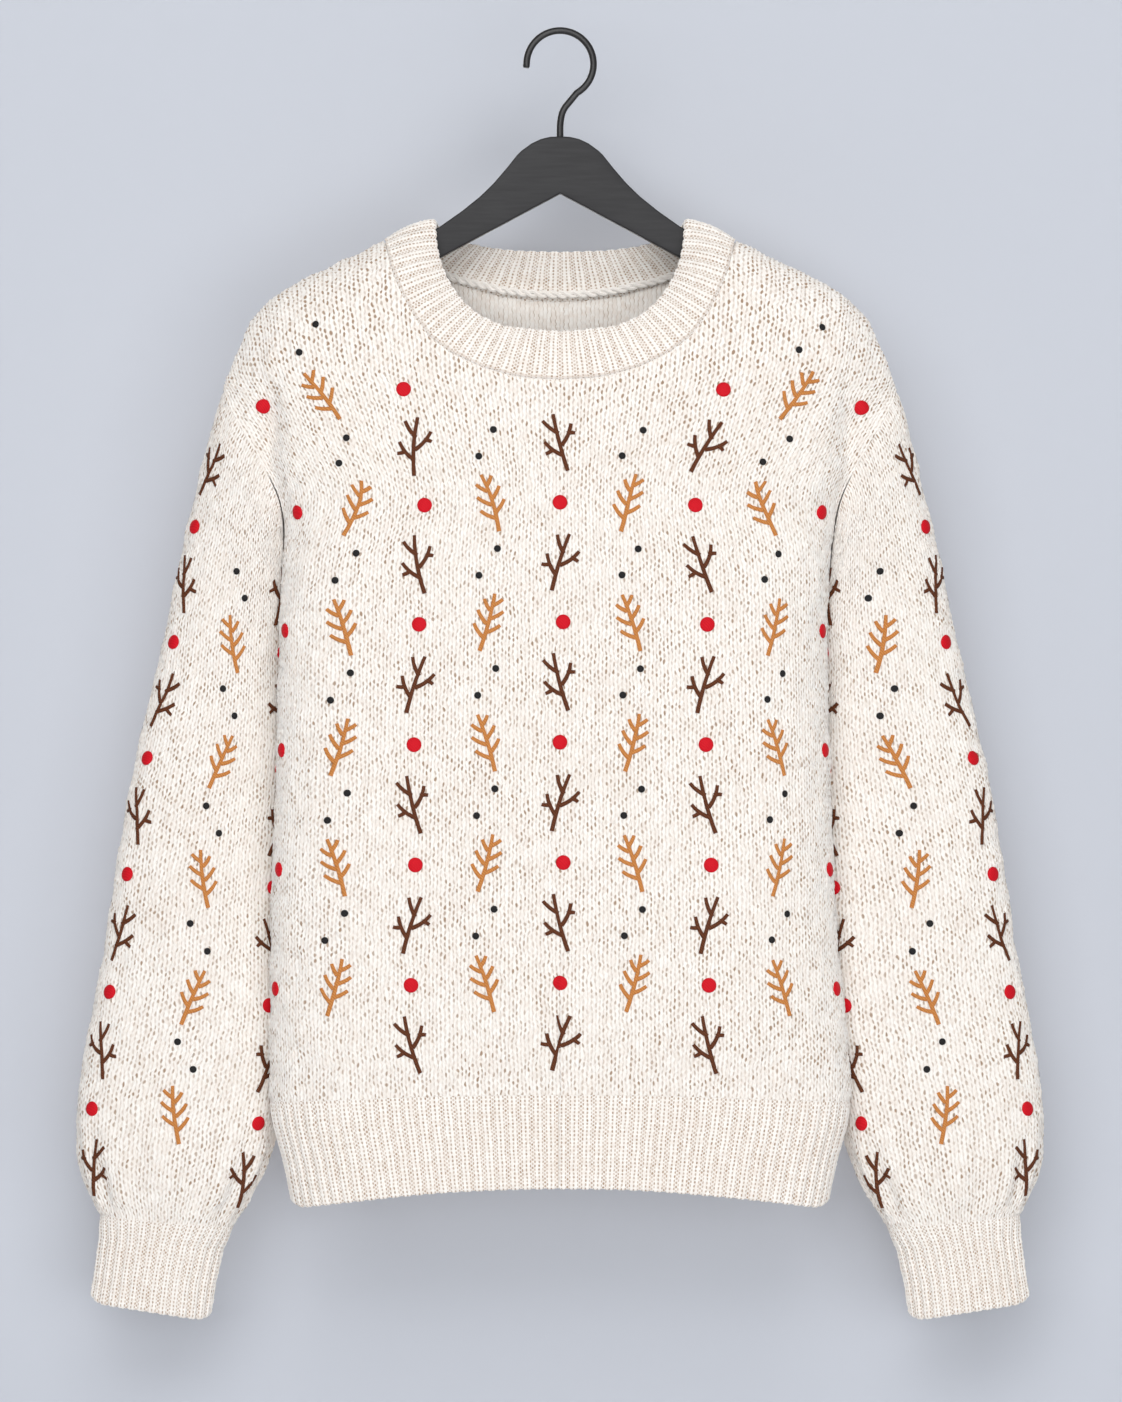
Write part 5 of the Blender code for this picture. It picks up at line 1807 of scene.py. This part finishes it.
def motifs(cloth, wraps):
    # The layout's sprigs, berries and seeds on one piece of cloth.
    width = clothWidth(cloth, wraps)
    each = int(width / 2.0 // layout["across"])
    across = width / (2 * each) if wraps else layout["across"]
    columns = range(-each, each) if wraps else range(-each, each + 1)
    found = []
    for column in columns:
        for row in range(layout["rows"]):
            odd = column % 2
            x = width / 2.0 + (column + (0.5 if wraps else 0.0)) * across
            y = layout["firstUp"] + (row + 0.5 * odd) * layout["up"]
            lean = layout["lean"] * (1 if (column // 2 + row) % 2 else -1)
            kind = "caramel" if odd else "brown"
            found.append((kind, x, y, lean))
            half = layout["up"] / 2.0
            if odd:
                for aside, above in layout["seeds"]:
                    found.append(("charcoal", x + aside, y + half + above, 0.0))
            else:
                aside = layout["berryShift"] * (row % 2)
                found.append(("red", x + aside, y + half, layout["berryTurn"] * column))
    return found


def fits(cloth, wraps, x, y, clear):
    # Whether a motif keeps clear of the edges of its cloth.
    columns = cloth["points"].shape[1]
    if not wraps and not clear < x < clothWidth(cloth, wraps) - clear:
        return False
    low = int(np.clip((x - clear) / knit["wale"] * 4.0, 0, columns - 1))
    high = int(np.clip((x + clear) / knit["wale"] * 4.0, 0, columns - 1))
    top = cloth["tops"][low:high + 1].min() * knit["course"]
    return clear < y < top - clear


def makeEmbroidery():
    shapes = {kind: sprigShape(strokes) for kind, strokes in sprigs.items()}
    shapes["red"] = domeShape(stitching["berry"], stitching["berryHeight"], *stitching["berrySteps"])
    shapes["charcoal"] = domeShape(stitching["seed"], stitching["seedHeight"], *stitching["seedSteps"])
    sewn = {kind: ([], []) for kind in shapes}
    for word, cloth in charts.items():
        wraps = word in ("left", "right")
        for kind, x, y, lean in motifs(cloth, wraps):
            if not fits(cloth, wraps, x, y, layout["room"][kind]):
                continue
            points, faces = sewn[kind]
            start = sum(len(part) for part in points)
            points.append(sew(cloth, shapes[kind], x, y, lean))
            faces.append(shapes[kind][1] + start)
    for kind, (points, faces) in sewn.items():
        points = np.concatenate(points)
        faces = np.concatenate(faces)
        piece = finishMesh(pieceNames[kind], points, faces, (threads[kind],))


makeEmbroidery()


# Metres, because the stage, the lights and the camera stand round the finished meshes.
stage = {
    "floorSize": 12.0,
    "floorZ": -1.6,
    "floorColour": linear(226, 227, 230),
    "floorRoughness": 0.9,
    "wallSize": 3.2,
    "wallPlace": (0.0, 0.095, -0.3),
    "wallColour": linear(203, 208, 218),
    "wallRoughness": 0.95,
}


def makeStage():
    floor = bpy.data.materials.new("pale floor")
    floor.use_nodes = True
    surface = floor.node_tree.nodes["Principled BSDF"]
    surface.inputs["Base Color"].default_value = stage["floorColour"]
    surface.inputs["Roughness"].default_value = stage["floorRoughness"]
    bpy.ops.mesh.primitive_plane_add(size=stage["floorSize"], location=(0.0, 0.0, stage["floorZ"]))
    ground = bpy.context.object
    ground.name = "floor"
    ground.data.materials.append(floor)
    # the wall shows from its front only, and casts neither shadow nor light
    wall = bpy.data.materials.new("pale wall")
    wall.use_nodes = True
    tree = wall.node_tree
    surface = tree.nodes["Principled BSDF"]
    surface.inputs["Base Color"].default_value = stage["wallColour"]
    surface.inputs["Roughness"].default_value = stage["wallRoughness"]
    clear = tree.nodes.new("ShaderNodeBsdfTransparent")
    facing = tree.nodes.new("ShaderNodeNewGeometry")
    mix = tree.nodes.new("ShaderNodeMixShader")
    tree.links.new(facing.outputs["Backfacing"], mix.inputs["Fac"])
    tree.links.new(surface.outputs["BSDF"], mix.inputs[1])
    tree.links.new(clear.outputs["BSDF"], mix.inputs[2])
    tree.links.new(mix.outputs["Shader"], tree.nodes["Material Output"].inputs["Surface"])
    upright = (np.pi / 2.0, 0.0, 0.0)
    bpy.ops.mesh.primitive_plane_add(size=stage["wallSize"], location=stage["wallPlace"], rotation=upright)
    backdrop = bpy.context.object
    backdrop.name = "backdrop"
    backdrop.data.materials.append(wall)
    backdrop.visible_shadow = False
    backdrop.visible_diffuse = False
    backdrop.visible_glossy = False


lights = {
    "aim": (0.0, 0.0, -0.45),
    # name, place, size, power, colour
    "lamps": [
        ("key", (-0.8, -3.4, 0.4), 2.2, 40.0, (1.0, 0.995, 0.985)),
        ("fill", (1.1, -3.3, -1.15), 2.4, 48.0, (1.0, 0.997, 0.99)),
        ("high light", (0.1, -2.6, 1.5), 2.0, 27.0, (1.0, 0.995, 0.99)),
        ("back light", (-0.9, 3.2, 0.5), 2.6, 60.0, (1.0, 1.0, 1.0)),
    ],
    "skyColour": (0.9, 0.89, 0.885, 1.0),
    "sky": 0.3,
}


def makeLight():
    for name, place, size, power, colour in lights["lamps"]:
        data = bpy.data.lights.new(name, "AREA")
        data.size = size
        data.energy = power
        data.color = colour
        lamp = bpy.data.objects.new(name, data)
        lamp.location = place
        aim = Vector(lights["aim"]) - Vector(place)
        lamp.rotation_euler = aim.to_track_quat("-Z", "Y").to_euler()
        bpy.context.collection.objects.link(lamp)
    world = bpy.data.worlds.new("studio")
    world.use_nodes = True
    background = world.node_tree.nodes["Background"]
    background.inputs["Color"].default_value = lights["skyColour"]
    background.inputs["Strength"].default_value = lights["sky"]
    bpy.context.scene.world = world


# Metres for the distance, and millimetres for the frame's height and middle.
view = {"distance": 4.0, "high": 911.3, "middleX": 0.65, "middleZ": -433.55, "sensor": 36.0}


def makeCamera():
    data = bpy.data.cameras.new("camera")
    data.sensor_width = view["sensor"]
    data.lens = data.sensor_width * view["distance"] / (view["high"] * mm)
    camera = bpy.data.objects.new("camera", data)
    camera.location = (view["middleX"] * mm, -view["distance"], view["middleZ"] * mm)
    camera.rotation_euler = (np.pi / 2.0, 0.0, 0.0)
    bpy.context.collection.objects.link(camera)
    bpy.context.scene.camera = camera


makeStage()
makeLight()
makeCamera()
bpy.context.scene.view_settings.view_transform = "Standard"
print("stage, lights and camera made")
